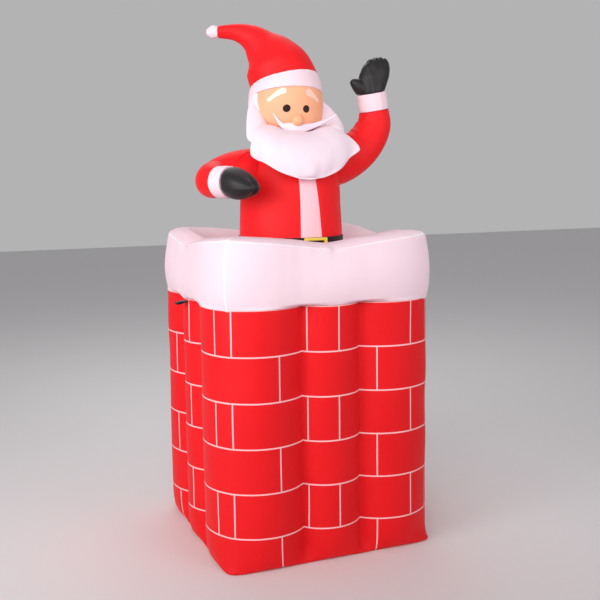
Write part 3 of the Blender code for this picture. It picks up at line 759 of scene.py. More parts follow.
# Hat along its droop: way along it, height and radius
DROOP = direction(-0.93, 0.37, 0.0)
HAT_LINE = [
    (0.001, 0.526, 0.1075),
    (0.0215, 0.573, 0.1005),
    (0.0470, 0.608, 0.0800),
    (0.072, 0.634, 0.0575),
    (0.1015, 0.6610, 0.0405),
    (0.1485, 0.678, 0.0262),
    (0.204, 0.6795, 0.0175),
]
TIP_LENGTH = 0.037
ACROSS_DROOP = np.array(Vector(DROOP).cross(Vector((0, 0, 1))).normalized())


def kept_side(item, name, point, normal):
    """Copy of a closed skin, cut on a plane and closed, keeping what lies against the normal."""
    form = bmesh.new()
    form.from_mesh(item.data)
    parts = form.verts[:] + form.edges[:] + form.faces[:]
    cut = bmesh.ops.bisect_plane(form, geom=parts, plane_co=point, plane_no=normal, clear_outer=True)
    edges = [part for part in cut["geom_cut"] if isinstance(part, bmesh.types.BMEdge)]
    bmesh.ops.contextual_create(form, geom=edges)
    bmesh.ops.recalc_face_normals(form, faces=form.faces)
    mesh = bpy.data.meshes.new(name)
    form.to_mesh(mesh)
    form.free()
    mesh.shade_smooth()
    mesh.set_sharp_from_angle(angle=SHARP)
    return placed(name, mesh)


def make_head():
    """Head skin, parted into the skin-coloured face and the white hair round it."""
    rows = [(z, radius, radius) for z, radius in curve_rows(HEAD_PROFILE, 110)]
    cloth = Cloth("head_cloth", round_rings(rows, 200, HEAD_AXIS))
    lean = Vector((0, -1, FACE_CUT_LEAN)).normalized()
    pivot = Vector(FACE_CUT)
    ahead = (cloth.rings - np.array(pivot)) @ np.array(lean)
    amount = np.where(ahead < 0, 0.0022, 0.0) * step_up(-ahead, 0, 0.012)
    amount += -0.0016 * bell(ahead, 0.003)
    amount += puckers(np.abs(ahead), cloth.along, 0.014, 0.0013, 0.02, 131) * (ahead < 0)
    amount += tuck(cloth.along, 0.006)
    x, y, z = np.moveaxis(cloth.rings, 2, 0)
    cheek = bell(z - SEAT - 0.396, 0.026) * step_up(x - y, 0.06, 0.12)
    amount += 0.008 * cheek * (ahead > 0)
    level = (cloth.rings - BAND_CENTRE) @ BAND_NORMAL
    amount += cloth.gathers(np.abs(level), 0.017, 0.0014, 0.03, 141)
    whole = cloth.move(amount).made()
    top = kept_side(whole, "head_below_band", Vector(BAND_CENTRE), Vector(BAND_NORMAL))
    face = kept_side(top, "face_cloth", pivot + lean * GAP, -lean)
    hair = kept_side(top, "hair_cloth", pivot - lean * GAP, lean)
    bpy.data.objects.remove(whole)
    return face, hair, top


def make_band():
    """White band round the head, gathered at both edges."""
    shares = eased(34)
    swell = BAND_SWELL * np.sin(math.pi * shares) ** 0.7
    radii = BAND_RADIUS + (HAT_LINE[0][2] - BAND_RADIUS) * shares + swell
    centres = BAND_CENTRE + BAND_NORMAL * (GAP + BAND_HEIGHT * shares)[:, None]
    rings = tube_rings(centres, radii, 180, ACROSS_DROOP, None, BAND_TOP_NORMAL, (0.03, BAND_HEIGHT))
    cloth = Cloth("hat_band_cloth", rings)
    amount = tuck(cloth.to_edge(), 0.002)
    amount += cloth.gathers(cloth.to_edge(), 0.013, 0.0012, 0.016, 151)
    amount += cloth.waver(0.001, 18, 0.03, 161)
    return cloth.move(amount).made()


def make_hat():
    """Red crown with its droop and folds, and the white tip."""
    rows = curve_rows(HAT_LINE, 150)
    start = BAND_CENTRE + BAND_NORMAL * (BAND_HEIGHT + GAP) + BAND_TOP_NORMAL * GAP
    centres = start + DROOP * (rows[:, :1] - HAT_LINE[0][0])
    centres[:, 2] += rows[:, 1] - HAT_LINE[0][1]
    rings = tube_rings(centres, rows[:, 2], 150, ACROSS_DROOP, BAND_TOP_NORMAL, DROOP, (0.12, 0.02), 0.024)
    cloth = Cloth("hat_cloth", rings)
    bend = bell(cloth.along / cloth.length - 0.42, 0.2)
    under = np.clip(-np.sin(cloth.across / cloth.girth * 2 * math.pi + math.pi), 0, 1)
    amount = tuck(cloth.along, 0.002) + tuck(cloth.left, 0.003)
    amount += cloth.gathers(cloth.along, 0.02, 0.0006, 0.05, 171)
    amount += puckers(cloth.left, cloth.across * 0.2, 0.006, 0.0016, 0.05, 181, cloth.girth * 0.2)
    amount += 0.0010 * bend * uneven(cloth.along / 0.013, 191) * under
    amount += cloth.waver(0.0006, 10, 0.06, 201)
    hat = cloth.move(amount).made()
    shares = eased(40)
    round_off = np.sqrt(np.clip(1 - (np.clip(shares - 0.42, 0, 1) / 0.59) ** 2, 0.012, 1))
    swell = (1 + 0.14 * np.sin(np.clip(shares / 0.8, 0, 1) * math.pi)) * round_off
    line = centres[-1] + DROOP * (GAP + TIP_LENGTH * shares)[:, None]
    cloth = Cloth("hat_tip_cloth", tube_rings(line, rows[-1, 2] * swell, 90, ACROSS_DROOP))
    amount = tuck(cloth.along, 0.003)
    amount += cloth.gathers(cloth.along, 0.008, 0.0014, 0.014, 211)
    amount += cloth.gathers(cloth.left, 0.009, 0.0011, 0.012, 221)
    return hat, cloth.move(amount).made()


# Arms from the shoulder out: place and radius
RIGHT_UPPER_ARM = [
    (-0.085, 0.006, 0.244, 0.076),
    (-0.150, 0.006, 0.241, 0.074),
    (-0.205, 0.008, 0.234, 0.067),
    (-0.250, 0.010, 0.228, 0.053),
    (-0.280, 0.010, 0.225, 0.034),
    (-0.294, 0.010, 0.224, 0.012),
]
RIGHT_ARM = [
    (-0.220, 0.020, 0.228, 0.048),
    (-0.252, -0.014, 0.225, 0.054),
    (-0.264, -0.048, 0.221, 0.0520),
    (-0.257, -0.084, 0.217, 0.0465),
]
RIGHT_FOREARM = direction(0.438, -0.899, 0.0)
RIGHT_HAND = direction(0.438, -0.899, -0.16)
LEFT_ARM = [
    (0.080, 0.000, 0.262, 0.076),
    (0.150, -0.002, 0.274, 0.073),
    (0.215, -0.006, 0.300, 0.067),
    (0.262, -0.012, 0.345, 0.060),
    (0.284, -0.018, 0.392, 0.055),
    (0.283, -0.022, 0.438, 0.0465),
]
LEFT_FOREARM = direction(-0.19, -0.06, 1.0)
LEFT_HAND = direction(0.16, -0.05, 1.0)
# Inside of the right elbow, and how far its folds reach
ELBOW = seat_point(-0.205, -0.045, 0.232)
ELBOW_REACH = 0.045
# Grid of the remeshed skins, and how many times each is smoothed
SLEEVE_VOXEL = 0.0034
SLEEVE_ROUNDS = 6
GLOVE_VOXEL = 0.0022
GLOVE_ROUNDS = 22
RIGHT_CUFF_LENGTH = 0.048
LEFT_CUFF_LENGTH = 0.055
CUFF_SWELL = 0.001


def arm_curve(keys, count):
    """Middle line and radii of an arm."""
    rows = curve_rows(keys, count)
    rows[:, 2] += SEAT
    return rows[:, :3], rows[:, 3]


def outside_coat(places):
    """Distance of points from the coat's skin, outwards."""
    x, y, z = np.moveaxis(places, -1, 0)
    heights, widths, depths = np.array(COAT_PROFILE).T
    share = np.hypot(x / np.interp(z - SEAT, heights, widths), y / np.interp(z - SEAT, heights, depths))
    return np.hypot(x, y) * (1 - 1 / np.maximum(share, 1e-6))


def make_left_sleeve(coat):
    """Raised sleeve, with folds in the crook of the elbow and gathers at the armhole and cuff."""
    centres, radii = arm_curve(LEFT_ARM, 170)
    rings = tube_rings(centres, radii, 130, (0, 1, 0), None, LEFT_FOREARM, (0.03, 0.05))
    cloth = Cloth("sleeve_left_cloth", rings)
    bend = np.array((-0.62, 0.0, 0.78))
    side = (cloth.rings - cloth.rings.mean(axis=1, keepdims=True)) @ bend / radii[:, None]
    crook = bell(cloth.along / cloth.length - 0.55, 0.19)
    fold = uneven(cloth.along / 0.012, 231) + 0.5 * uneven(cloth.along / 0.006, 232)
    amount = 0.0013 * crook * fold * np.clip(side, 0, 1) ** 1.5
    clear = np.clip(outside_coat(cloth.rings), 0, 1)
    amount += -0.001 * fade(clear, 0.006)
    amount += cloth.gathers(clear, 0.018, 0.0022, 0.045, 241)
    amount += tuck(cloth.left, 0.002)
    amount += cloth.gathers(cloth.left, 0.015, 0.0018, 0.035, 251)
    amount += cloth.waver(0.0016, 8, 0.05, 261)
    return trimmed(cloth.move(amount).made(), coat)


def make_right_sleeve(coat):
    """Sleeve held out and bent forward: two cloth tubes in one skin."""
    rings = tube_rings(*arm_curve(RIGHT_ARM, 60), 90, (0, 0, 1), None, RIGHT_FOREARM, (0.03, 0.02))
    fore = Cloth("sleeve_right_cloth", rings).made()
    upper = Cloth("sleeve_right_upper", tube_rings(*arm_curve(RIGHT_UPPER_ARM, 90), 90, (0, 0, 1))).made()
    sleeve = fused([fore, upper], SLEEVE_VOXEL, SLEEVE_ROUNDS)
    places, _ = vertex_places(sleeve)
    end = seat_point(*RIGHT_ARM[-1][:3])
    left = np.maximum(-(places - end) @ RIGHT_FOREARM, 0)
    turn = np.arctan2(places[:, 2] - end[2], (places - end) @ np.cross(RIGHT_FOREARM, (0, 0, 1)))
    gathers = puckers(left, (turn + math.pi) * 0.05, 0.015, 0.0022, 0.03, 271, 0.314)
    amount = np.where(left < 0.06, gathers, 0)
    amount += tuck(left, 0.002)
    clear = np.clip(outside_coat(places), 0, 1)
    _, _, shoulder, radius = RIGHT_UPPER_ARM[0]
    around = (np.arctan2(places[:, 1], places[:, 2] - SEAT - shoulder) + math.pi) * radius
    amount += -0.001 * fade(clear, 0.006)
    amount += puckers(clear, around, 0.018, 0.0016, 0.045, 281, 2 * math.pi * radius)
    crook = np.exp(-((places - ELBOW) ** 2).sum(axis=1) / ELBOW_REACH ** 2)
    amount += 0.0010 * crook * uneven((places[:, 0] - places[:, 1]) / 0.011, 291)
    amount += 0.0013 * uneven_sheet(places[:, 0] / 0.05 + 20, places[:, 2] / 0.05, 301)
    push(sleeve, amount)
    return trimmed(sleeve, coat)


def make_cuff(name, arm, forearm, length, side, seed):
    """Short swollen cuff with gathers at both seams."""
    x, y, z, radius = arm[-1]
    shares = eased(36)
    radii = radius + CUFF_SWELL * (0.3 + np.sin(math.pi * shares) ** 0.8)
    centres = seat_point(x, y, z) + forearm * GAP + forearm * (length * shares)[:, None]
    cloth = Cloth(name, tube_rings(centres, radii, 120, side))
    amount = tuck(cloth.to_edge(), 0.002) + cloth.gathers(cloth.to_edge(), 0.012, 0.0013, 0.018, seed)
    return cloth.move(amount).made()


# Hands from the cuff on: share of the length, and half width and half thickness in radii of the cuff
OPEN_HAND = [
    (0.00, 0.90, 0.90),
    (0.14, 1.00, 0.86),
    (0.36, 1.10, 0.78),
    (0.58, 1.14, 0.70),
    (0.76, 1.10, 0.60),
    (0.89, 1.00, 0.47),
    (0.97, 0.84, 0.30),
    (1.00, 0.70, 0.12),
]
CURLED_HAND = [
    (0.00, 0.90, 0.90),
    (0.12, 0.98, 1.00),
    (0.34, 0.99, 1.04),
    (0.56, 0.88, 0.98),
    (0.76, 0.69, 0.80),
    (0.90, 0.48, 0.56),
    (0.97, 0.31, 0.36),
    (1.00, 0.14, 0.16),
]
OPEN_HAND_LENGTH = 0.106
CURLED_HAND_LENGTH = 0.102
# How far a finger ends beyond its neighbours, and where the grooves run, in radii of the cuff
FINGERTIP_STEP = 0.010
GROOVES = (-0.55, 0.0, 0.55)
GROOVE_WIDTH = 0.07
THUMB_OUT = 0.40
# Thumbs: share of the hand's length at the root, length, radius, lean and turn
OPEN_THUMB = (0.06, 0.064, 0.029, math.radians(54), 0.0)
CURLED_THUMB = (0.20, 0.058, 0.020, math.radians(8), 0.35)
THUMB_SHARES = (0.0, 0.3, 0.65, 0.92, 0.98, 1.0)
THUMB_SWELLS = (1.0, 0.92, 0.66, 0.38, 0.26, 0.1)


def make_glove(name, arm, forearm, cuff_length, onward, hand, length, palm_side, thumb, groove_depth, seed):
    """Black glove: palm with fused fingers and a thumb, in one skin with grooves between the fingers."""
    x, y, z, radius = arm[-1]
    forearm, onward = Vector(forearm), Vector(onward)
    wide = (Vector(palm_side) - forearm * Vector(palm_side).dot(forearm)).normalized()
    thick = forearm.cross(wide).normalized()
    start = Vector(seat_point(x, y, z)) + forearm * (cuff_length + 2 * GAP)
    root_share, thumb_length, thumb_radius, thumb_lean, thumb_turn = thumb
    root = start + onward * (length * root_share) + wide * (radius * THUMB_OUT)
    lean = (onward * math.cos(thumb_lean) + wide * math.sin(thumb_lean)).normalized()
    lean = (lean + thick * thumb_turn).normalized()
    start, root, lean = map(np.array, (start, root, lean))
    forearm, onward, wide, thick = map(np.array, (forearm, onward, wide, thick))
    turns = full_turn(110)
    place = np.cos(turns)
    rings = []
    for share, half_width, half_thickness in curve_rows(hand, 80):
        reach = length * share * (1 - 0.10 * place ** 2 + 0.03 * place)
        reach += FINGERTIP_STEP * share ** 4 * np.abs(np.sin(2 * math.pi * place))
        ring = start + onward * reach[:, None]
        ring += wide * (radius * half_width * place)[:, None]
        ring += thick * (radius * half_thickness * np.sin(turns))[:, None]
        rings.append(ring)
    palm = Cloth(name, rings).made()
    shares = eased(40)
    radii = thumb_radius * np.interp(shares, THUMB_SHARES, THUMB_SWELLS)
    skin = tube_rings(root + lean * (thumb_length * shares)[:, None], radii, 60, thick)
    above_cuff = (skin - start) @ forearm
    skin = skin + forearm * np.maximum(0.001 - above_cuff, 0)[..., None]
    glove = fused([palm, Cloth(name + "_thumb", skin).made()], GLOVE_VOXEL, GLOVE_ROUNDS)
    places, _ = vertex_places(glove)
    offset = places - start
    reach = offset @ onward / length
    spread = offset @ wide / radius
    amount = np.zeros(len(places))
    for groove in GROOVES:
        amount += -groove_depth * bell(spread - groove, GROOVE_WIDTH) * step_up(reach, 0.42, 0.95)
    away = np.maximum(offset @ forearm, 0)
    turn = np.arctan2(offset @ thick, offset @ wide) + math.pi
    amount += tuck(away, 0.002)
    amount += puckers(away, turn * radius, 0.010, 0.0020, 0.02, seed, 2 * math.pi * radius)
    amount += 0.0010 * uneven_sheet(places[:, 0] / 0.02 + 30, places[:, 2] / 0.02, seed + 5)
    push(glove, amount)
    return glove


# Beard: edge on the face, hem, and how far front and back swell, outwards from its middle
BEARD_MIDDLE = (0.000, -0.072, 0.361, 0.000, -0.178, 0.224, 0.050, 0.045)
BEARD_RIGHT = [
    (0.034, -0.070, 0.365, 0.045, -0.177, 0.226, 0.050, 0.045),
    (0.062, -0.062, 0.378, 0.098, -0.168, 0.244, 0.048, 0.042),
    (0.078, -0.052, 0.382, 0.142, -0.151, 0.272, 0.043, 0.037),
    (0.086, -0.046, 0.391, 0.174, -0.134, 0.296, 0.028, 0.026),
    (0.090, -0.041, 0.401, 0.146, -0.103, 0.319, 0.019, 0.020),
    (0.097, -0.030, 0.423, 0.161, -0.062, 0.347, 0.019, 0.021),
    (0.106, -0.016, 0.448, 0.143, -0.024, 0.402, 0.018, 0.018),
    (0.109, -0.006, 0.468, 0.126, -0.004, 0.450, 0.008, 0.010),
]
BEARD_LEFT = [
    (0.034, -0.070, 0.362, 0.045, -0.177, 0.226, 0.050, 0.045),
    (0.062, -0.062, 0.373, 0.096, -0.168, 0.248, 0.048, 0.042),
    (0.078, -0.054, 0.379, 0.133, -0.153, 0.281, 0.038, 0.032),
    (0.086, -0.048, 0.392, 0.179, -0.136, 0.312, 0.016, 0.012),
    (0.090, -0.044, 0.402, 0.149, -0.116, 0.337, 0.010, 0.009),
    (0.094, -0.036, 0.414, 0.149, -0.086, 0.364, 0.012, 0.011),
    (0.101, -0.026, 0.430, 0.157, -0.056, 0.391, 0.013, 0.012),
    (0.106, -0.016, 0.448, 0.144, -0.028, 0.420, 0.012, 0.010),
    (0.108, -0.008, 0.464, 0.118, -0.008, 0.447, 0.007, 0.007),
]
# How sharply the beard's section narrows to its hem
BEARD_PINCH = 0.7


def make_beard(neighbours):
    """White crescent from ear to ear, pinched along its hem and gathered there."""
    mirrored = np.array(BEARD_RIGHT[::-1]) * (-1, 1, 1, -1, 1, 1, 1, 1)
    rows = curve_rows([*mirrored, BEARD_MIDDLE, *BEARD_LEFT], 200, even=True)
    turns = full_turn(96)
    lens = (1 - np.cos(turns)) / 2
    rings = []
    for row in rows:
        edge = seat_point(HEAD_AXIS[0] + row[0], row[1], row[2])
        hem = seat_point(*row[3:6])
        width = hem - edge
        middle = (edge + hem) / 2
        outward = np.array((middle[0], middle[1] - HEAD_AXIS[1], 0.0))
        outward /= np.linalg.norm(outward)
        outward -= width * (outward @ width) / (width @ width)
        outward /= np.linalg.norm(outward)
        pinch = np.abs(np.sin(turns)) ** (BEARD_PINCH * lens)
        front, back = row[6:]
        swell = np.where(np.sin(turns) > 0, front, back) * np.sin(turns) * pinch
        rings.append(edge + width * lens[:, None] + outward * swell[:, None])
    cloth = Cloth("beard_cloth", rings)
    to_hem = np.abs(cloth.across - cloth.girth / 2)
    to_face = np.minimum(cloth.across, cloth.girth - cloth.across)
    size = np.ptp(cloth.rings, axis=1).max(axis=1)[:, None] / 0.2
    amount = -0.001 * size * fade(to_hem, 0.006)
    amount += size * puckers(to_hem, cloth.along, 0.028, 0.0125, 0.055, 311)
    amount += size * puckers(to_face, cloth.along, 0.016, 0.0016, 0.03, 321)
    amount += 0.0022 * size * uneven_sheet(cloth.along / 0.05 + 3, cloth.across / 0.05, 331)
    return trimmed(cloth.move(amount).made(), *neighbours)


# Moustache from its right tip to its left one: middle line, half height and half thickness
MOUSTACHE = [
    (-0.079, -0.072, 0.4210, 0.0020, 0.0020),
    (-0.067, -0.075, 0.4010, 0.0040, 0.0040),
    (-0.050, -0.080, 0.3830, 0.0090, 0.0050),
    (-0.030, -0.086, 0.3800, 0.0130, 0.0060),
    (-0.008, -0.090, 0.3770, 0.0110, 0.0070),
    (0.014, -0.089, 0.3780, 0.0120, 0.0065),
    (0.040, -0.088, 0.3830, 0.0090, 0.0055),
    (0.068, -0.089, 0.3920, 0.0065, 0.0050),
    (0.094, -0.092, 0.4030, 0.0042, 0.0042),
    (0.121, -0.094, 0.4175, 0.0018, 0.0022),
]


def make_moustache(neighbours):
    """Thin white strip with upturned pointed ends, pinched along both edges."""
    rows = curve_rows(MOUSTACHE, 130, even=True)
    rows[:, 2] += SEAT
    centres = rows[:, :3]
    along = unit_rows(np.gradient(centres, axis=0))
    through = unit_rows(np.array((0.0, 1.0, 0.0)) - along * along[:, 1:2])
    upright = np.cross(through, along)
    turns = full_turn(40)
    rings = centres[:, None, :] + upright[:, None, :] * (rows[:, 3:4] * np.cos(turns))[..., None]
    rings = rings + through[:, None, :] * (rows[:, 4:5] * np.sin(turns))[..., None]
    cloth = Cloth("moustache_cloth", rings)
    edge = (1 - np.abs(np.cos(turns)))[None, :] * rows[:, 3:4]
    amount = puckers(edge, cloth.along, 0.009, 0.0012, 0.01, 341) * rows[:, 3:4] / 0.013
    return trimmed(cloth.move(amount).made(), *neighbours)


# Nose: centre, radius, and how far behind the centre it meets the face, in radii
NOSE_CENTRE = (-0.010, -0.096, 0.4005)
NOSE_RADIUS = 0.0182
NOSE_SEAM = 0.62


def make_nose(face):
    """Stuffed ball, gathered a little where it is sewn to the face."""
    bpy.ops.mesh.primitive_uv_sphere_add(segments=72, ring_count=40, radius=NOSE_RADIUS,
                                         location=seat_point(*NOSE_CENTRE), rotation=(math.pi / 2, 0, 0))
    nose = settled("nose_cloth")
    places, _ = vertex_places(nose)
    x, y, z = places.T
    back = np.maximum(NOSE_CENTRE[1] + NOSE_RADIUS * NOSE_SEAM - y, 0)
    around = (np.arctan2(z - SEAT - NOSE_CENTRE[2], x - NOSE_CENTRE[0]) + math.pi) * NOSE_RADIUS
    push(nose, puckers(back, around, 0.009, 0.0009, 0.01, 351, 2 * math.pi * NOSE_RADIUS))
    nose.data.shade_smooth()
    return trimmed(nose, face)


# The belt, and its buckle: outer width, bar, way to the figure's left, front and depth
BELT_RADIUS = 0.1663
BELT_HEIGHT = 0.049
BELT_THICKNESS = 0.0036
BUCKLE_WIDTH = 0.074
BUCKLE_BAR = 0.008
BUCKLE_SHIFT = 0.016
BUCKLE_FRONT = 0.1716
BUCKLE_DEPTH = 0.015


def make_belt():
    """Band of black cloth round the coat, with turned edges."""
    height = BELT_HEIGHT - 4 * GAP
    middle = SEAT + BELT_HEIGHT / 2
    bpy.ops.mesh.primitive_cylinder_add(vertices=200, radius=BELT_RADIUS, depth=height,
                                        end_fill_type="NOTHING", location=(0, 0, middle))
    belt = settled("belt_cloth")
    subdivided(1)
    modify(belt, "thickness", "SOLIDIFY", thickness=BELT_THICKNESS, offset=-1)
    modify(belt, "turned edges", "BEVEL", width=0.0013, segments=3, limit_method="ANGLE")
    apply_all(belt)
    places, _ = vertex_places(belt)
    x, y, z = places.T
    around = (np.arctan2(y, x) + math.pi) * BELT_RADIUS
    rim = np.minimum(np.abs(z - middle - height / 2), np.abs(z - middle + height / 2))
    outer = np.hypot(x, y) > BELT_RADIUS - 0.002
    ripple = puckers(rim + 0.003, around, 0.02, 0.0007, 0.03, 361, 2 * math.pi * BELT_RADIUS)
    push(belt, np.where(outer, ripple - 0.0006, 0))
    belt.data.shade_smooth()
    return belt


def make_buckle(belt):
    """Yellow frame cut from thick cloth, with rounded edges and a bar's opening."""
    half_height = BELT_HEIGHT / 2 - 0.002
    middle = SEAT + 2 * GAP + BELT_HEIGHT / 2
    centre = (BUCKLE_SHIFT, BUCKLE_DEPTH / 2 - BUCKLE_FRONT, middle)
    blocks = []
    for name, inset, depth in (
            ("buckle_cloth", 0.0, BUCKLE_DEPTH),
            ("opening", BUCKLE_BAR, 2 * BUCKLE_DEPTH)):
        bpy.ops.mesh.primitive_cube_add(size=1, location=centre)
        blocks.append(settled(name, (BUCKLE_WIDTH - 2 * inset, depth, 2 * (half_height - inset))))
    buckle, opening = blocks
    trimmed(buckle, opening)
    bpy.data.objects.remove(opening)
    modify(buckle, "rounded edges", "BEVEL", width=0.0015, segments=3)
    apply_all(buckle)
    buckle.data.shade_smooth()
    buckle.data.set_sharp_from_angle(angle=SHARP)
    bpy.ops.mesh.primitive_cylinder_add(vertices=180, radius=BELT_RADIUS - 0.0015, depth=2 * BELT_HEIGHT,
                                        location=(0, 0, middle))
    inside = bpy.context.active_object
    trimmed(buckle, inside, belt)
    bpy.data.objects.remove(inside)
    return buckle


TAB_THICKNESS = 0.0032


def make_tab():
    """Black webbing loop, folded flat and sewn into the seam under the snow."""
    low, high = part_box("tether_tab")
    size = [high[k] - low[k] for k in range(3)]
    middle = [(high[k] + low[k]) / 2 for k in range(3)]
    bpy.ops.mesh.primitive_cube_add(size=1, location=middle)
    tab = settled("tether_webbing", (size[0], size[1] * 0.96, TAB_THICKNESS))
    subdivided(14)
    places, _ = vertex_places(tab)
    out = (high[0] - places[:, 0]) / size[0]
    upper = np.sign(places[:, 2] - middle[2])
    loop = 0.0034 * np.sin(np.clip(out * 1.25 - 0.25, 0, 1) * math.pi) ** 0.7
    places[:, 2] = high[2] - 0.004 - 0.006 * out + (places[:, 2] - middle[2]) * 1.05 + upper * loop * 0.6
    tab.data.vertices.foreach_set("co", places.ravel())
    modify(tab, "soft edges", "BEVEL", width=0.0006, segments=2, limit_method="ANGLE")
    apply_all(tab)
    tab.data.shade_smooth()
    return tab


# Finishing


def dress(piece, material, slot, *nodes):
    """Gives a piece its cloth, ties it to the frame and hides the solids that it stands for."""
    piece.data.materials.clear()
    piece.data.materials.append(material)
    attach(piece, "root")
    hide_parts(*nodes)


def print_snow_seam_highlights(made, face_width, rim):
    """Painted highlight along the cap's sewn seams, a line a little paler than its cloth: one at each
    corner and one round its top.
    """
    tree = made.node_tree
    threads = node(tree, "TexCoord", output="UV")
    across = node(tree, "SeparateXYZ", [threads], "X")
    height = node(tree, "SeparateXYZ", [threads], "Y")
    corner = node(tree, "Math PINGPONG", [across, face_width / 2])
    top = node(tree, "Math SUBTRACT", [height, rim])
    top = node(tree, "Math ABSOLUTE", [top])
    line = node(tree, "Math MINIMUM", [corner, top])
    # The paler line is a painted highlight, where the seams' puckers catch the light
    painted(made, soft_mask(tree, line, 0.0013, 0.0012), "#FFFAFD")


# Printed on the face, by places across it and above the ground
EYES = ((-0.0435, 1.3325), (0.0176, 1.3312))
EYE_RADIUS = 0.0113
# Brows: outer end, inner end, half width at each of them, and how far the middle lifts
RIGHT_BROW = ((-0.0885, 1.3596), (-0.0525, 1.3845), 0.0060, 0.0092, 0.0035)
LEFT_BROW = ((0.0615, 1.3585), (0.0285, 1.3808), 0.0066, 0.0112, 0.0030)


def print_face(made):
    """Eyes and brows printed on the skin cloth."""
    tree = made.node_tree
    across = node(tree, "SeparateXYZ", [node(tree, "TexCoord", output="Object")], "X")
    height = node(tree, "SeparateXYZ", [node(tree, "TexCoord", output="Object")], "Z")
    place = node(tree, "CombineXYZ", {"X": across, "Z": height})
    for x, z in EYES:
        away = node(tree, "VectorMath DISTANCE", [place, (x, 0, z)], "Value")
        painted(made, soft_mask(tree, away, EYE_RADIUS, 0.0008), "#2C1917")
    # The left brow's colour is deeper than the right one's: painted shade on the face's less lit side
    for (outer, inner, thin, thick, lift), colour in ((RIGHT_BROW, "#FFE6D6"), (LEFT_BROW, "#FFD2BF")):
        share = node(tree, "MapRange", {"Value": across, "From Min": outer[0], "From Max": inner[0]})
        rest = node(tree, "Math SUBTRACT", [1.0, share])
        arch = node(tree, "Math MULTIPLY", [share, rest])
        arch = node(tree, "Math MULTIPLY", [arch, 4 * lift])
        chord = node(tree, "MapRange", {"Value": share, "To Min": outer[1], "To Max": inner[1]})
        line_x = node(tree, "MapRange", {"Value": share, "To Min": outer[0], "To Max": inner[0]})
        line_z = node(tree, "Math ADD", [chord, arch])
        line = node(tree, "CombineXYZ", {"X": line_x, "Z": line_z})
        away = node(tree, "VectorMath DISTANCE", [place, line], "Value")
        half = node(tree, "MapRange", {"Value": share, "To Min": thin, "To Max": thick})
        share_out = node(tree, "Math DIVIDE", [away, half])
        painted(made, soft_mask(tree, share_out, 1.0, 0.12), colour)


def print_strip(made):
    """Pale front strip of the coat, which leans a little."""
    tree = made.node_tree
    place = node(tree, "TexCoord", output="Object")
    height = node(tree, "SeparateXYZ", [place], "Z")
    limits = {"Value": height, "From Min": STRIP_LEVEL, "From Max": STRIP_LEVEL + 1,
              "To Min": STRIP_MIDDLE, "To Max": STRIP_MIDDLE + STRIP_LEAN}
    middle = node(tree, "MapRange", limits, clamp=False)
    off = node(tree, "Math SUBTRACT", [node(tree, "SeparateXYZ", [place], "X"), middle])
    off = node(tree, "Math ABSOLUTE", [off])
    front = node(tree, "Math LESS_THAN", [node(tree, "SeparateXYZ", [place], "Y"), 0.0])
    limits = {"Value": height, "From Min": STRIP_LEVEL, "From Max": STRIP_LEVEL - 1,
              "To Min": 0.0, "To Max": STRIP_SPREAD}
    wider = node(tree, "MapRange", limits, clamp=False)
    off = node(tree, "Math SUBTRACT", [off, wider])
    mask = node(tree, "Math MULTIPLY", [soft_mask(tree, off, STRIP_HALF, 0.0006), front])
    painted(made, mask, "#FBC9D3")


set_camera()
set_studio()

chimney, face_width = make_chimney()
snow, snow_face, snow_rim = make_snow()
coat = make_coat()
face, hair, head = make_head()
band = make_band()
hat, tip = make_hat()
sleeve_left = make_left_sleeve(coat)
sleeve_right = make_right_sleeve(coat)
cuff_left = make_cuff("cuff_left_cloth", LEFT_ARM, LEFT_FOREARM, LEFT_CUFF_LENGTH, (0, 1, 0), 401)
cuff_right = make_cuff("cuff_right_cloth", RIGHT_ARM, RIGHT_FOREARM, RIGHT_CUFF_LENGTH, (0, 0, 1), 411)
glove_left = make_glove("glove_left_cloth", LEFT_ARM, LEFT_FOREARM, LEFT_CUFF_LENGTH, LEFT_HAND,
                        OPEN_HAND, OPEN_HAND_LENGTH, (-1, 0, 0), OPEN_THUMB, 0.0012, 421)
glove_right = make_glove("glove_right_cloth", RIGHT_ARM, RIGHT_FOREARM, RIGHT_CUFF_LENGTH, RIGHT_HAND,
                         CURLED_HAND, CURLED_HAND_LENGTH, (0, 0, -1), CURLED_THUMB, 0.0, 431)
beard = make_beard((head, coat, sleeve_left, sleeve_right))
moustache = make_moustache((head, beard))
nose = make_nose(head)
bpy.data.objects.remove(head)
belt = make_belt()
buckle = make_buckle(belt)
tab = make_tab()

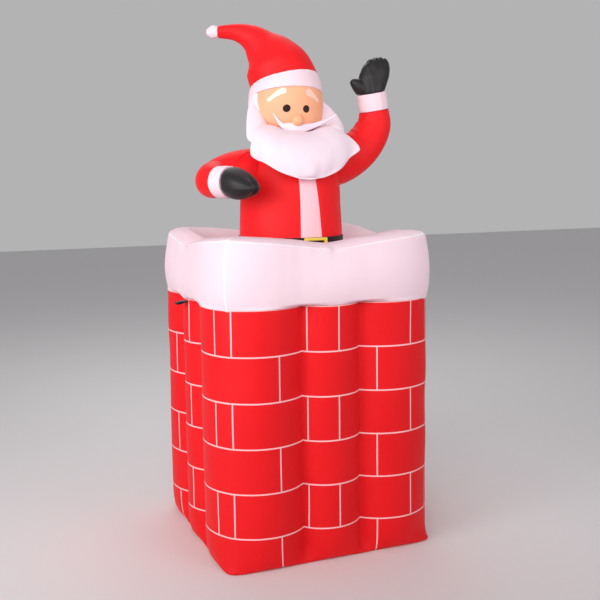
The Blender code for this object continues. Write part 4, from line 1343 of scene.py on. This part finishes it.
brick_cloth = nylon("printed brick nylon", "#F0141D", "#DE0D16")
print_bricks(brick_cloth, face_width)
# The pink in this white cloth is painted red light, bounced off the red cloth
snow_cloth = nylon("white snow nylon", "#F7DEE8", "#EFD2DE")
# Painted highlight along the snow cap's seams
print_snow_seam_highlights(snow_cloth, snow_face, snow_rim)
red_cloth = nylon("red coat nylon", "#F41A20", "#E8131A", sheen=0.08, uv=False)
coat_cloth = nylon("red coat nylon with front strip", "#F41A20", "#E8131A", sheen=0.08)
print_strip(coat_cloth)
# The pink in these white cloths is painted red light, bounced off the red cloth
white_cloth = nylon("white trim nylon", "#F7DDE6", "#F0D2DC")
white_form = nylon("white beard nylon", "#F4E2EC", "#EDD7E4", uv=False)
skin_cloth = nylon("skin-coloured nylon", "#FDB994", "#F9AC85", uv=False)
print_face(skin_cloth)
# The nose's cloth is the skin nylon made a shade deeper: painted shade against the stronger light on the
# ball
nose_cloth = nylon("skin-coloured nylon of the nose", "#FDB78E", "#FAA97F", uv=False)
glove_cloth = nylon("black glove nylon", "#201D20", "#171517", 0.5, 0.12, 0.35, uv=False)
belt_cloth = nylon("black belt nylon", "#231A1F", "#1B1418", 0.5, 0.1, uv=False)
buckle_cloth = nylon("yellow buckle cloth", "#F0D65A", "#E6C94C", 0.5, 0.05, uv=False)
webbing = nylon("black polyester webbing", "#1E1B1D", "#141214", 0.7, 0.2, uv=False)

# Cloth, the solids' slot, and the pieces by their solids' nodes. Air fills the pieces of the first group
air_filled = (
    (brick_cloth, "brick_cloth", {"chimney": chimney}),
    (snow_cloth, "snow_cloth", {"snow_cap": snow}),
    (coat_cloth, "red_cloth", {"coat": coat}),
    (red_cloth, "red_cloth", {"sleeve_left": sleeve_left, "sleeve_right": sleeve_right, "hat": hat}),
    (white_cloth, "white_cloth", {"hat_band": band, "hat_tip": tip}),
    (white_cloth, "white_cloth", {"cuff_left": cuff_left, "cuff_right": cuff_right}),
    (white_form, "white_cloth", {"hair": hair, "beard": beard, "moustache": moustache}),
    (skin_cloth, "skin_cloth", {"face": face}),
    (nose_cloth, "skin_cloth", {"nose": nose}),
    (glove_cloth, "glove_cloth", {"glove_left": glove_left, "glove_right": glove_right}),
)
flat = (
    (belt_cloth, "belt_cloth", {"belt": belt}),
    (buckle_cloth, "buckle_cloth", {"belt_buckle": buckle}),
    (webbing, "webbing", {"tether_tab": tab}),
)
for material, slot, pieces in air_filled + flat:
    for part, piece in pieces.items():
        dress(piece, material, slot, part)
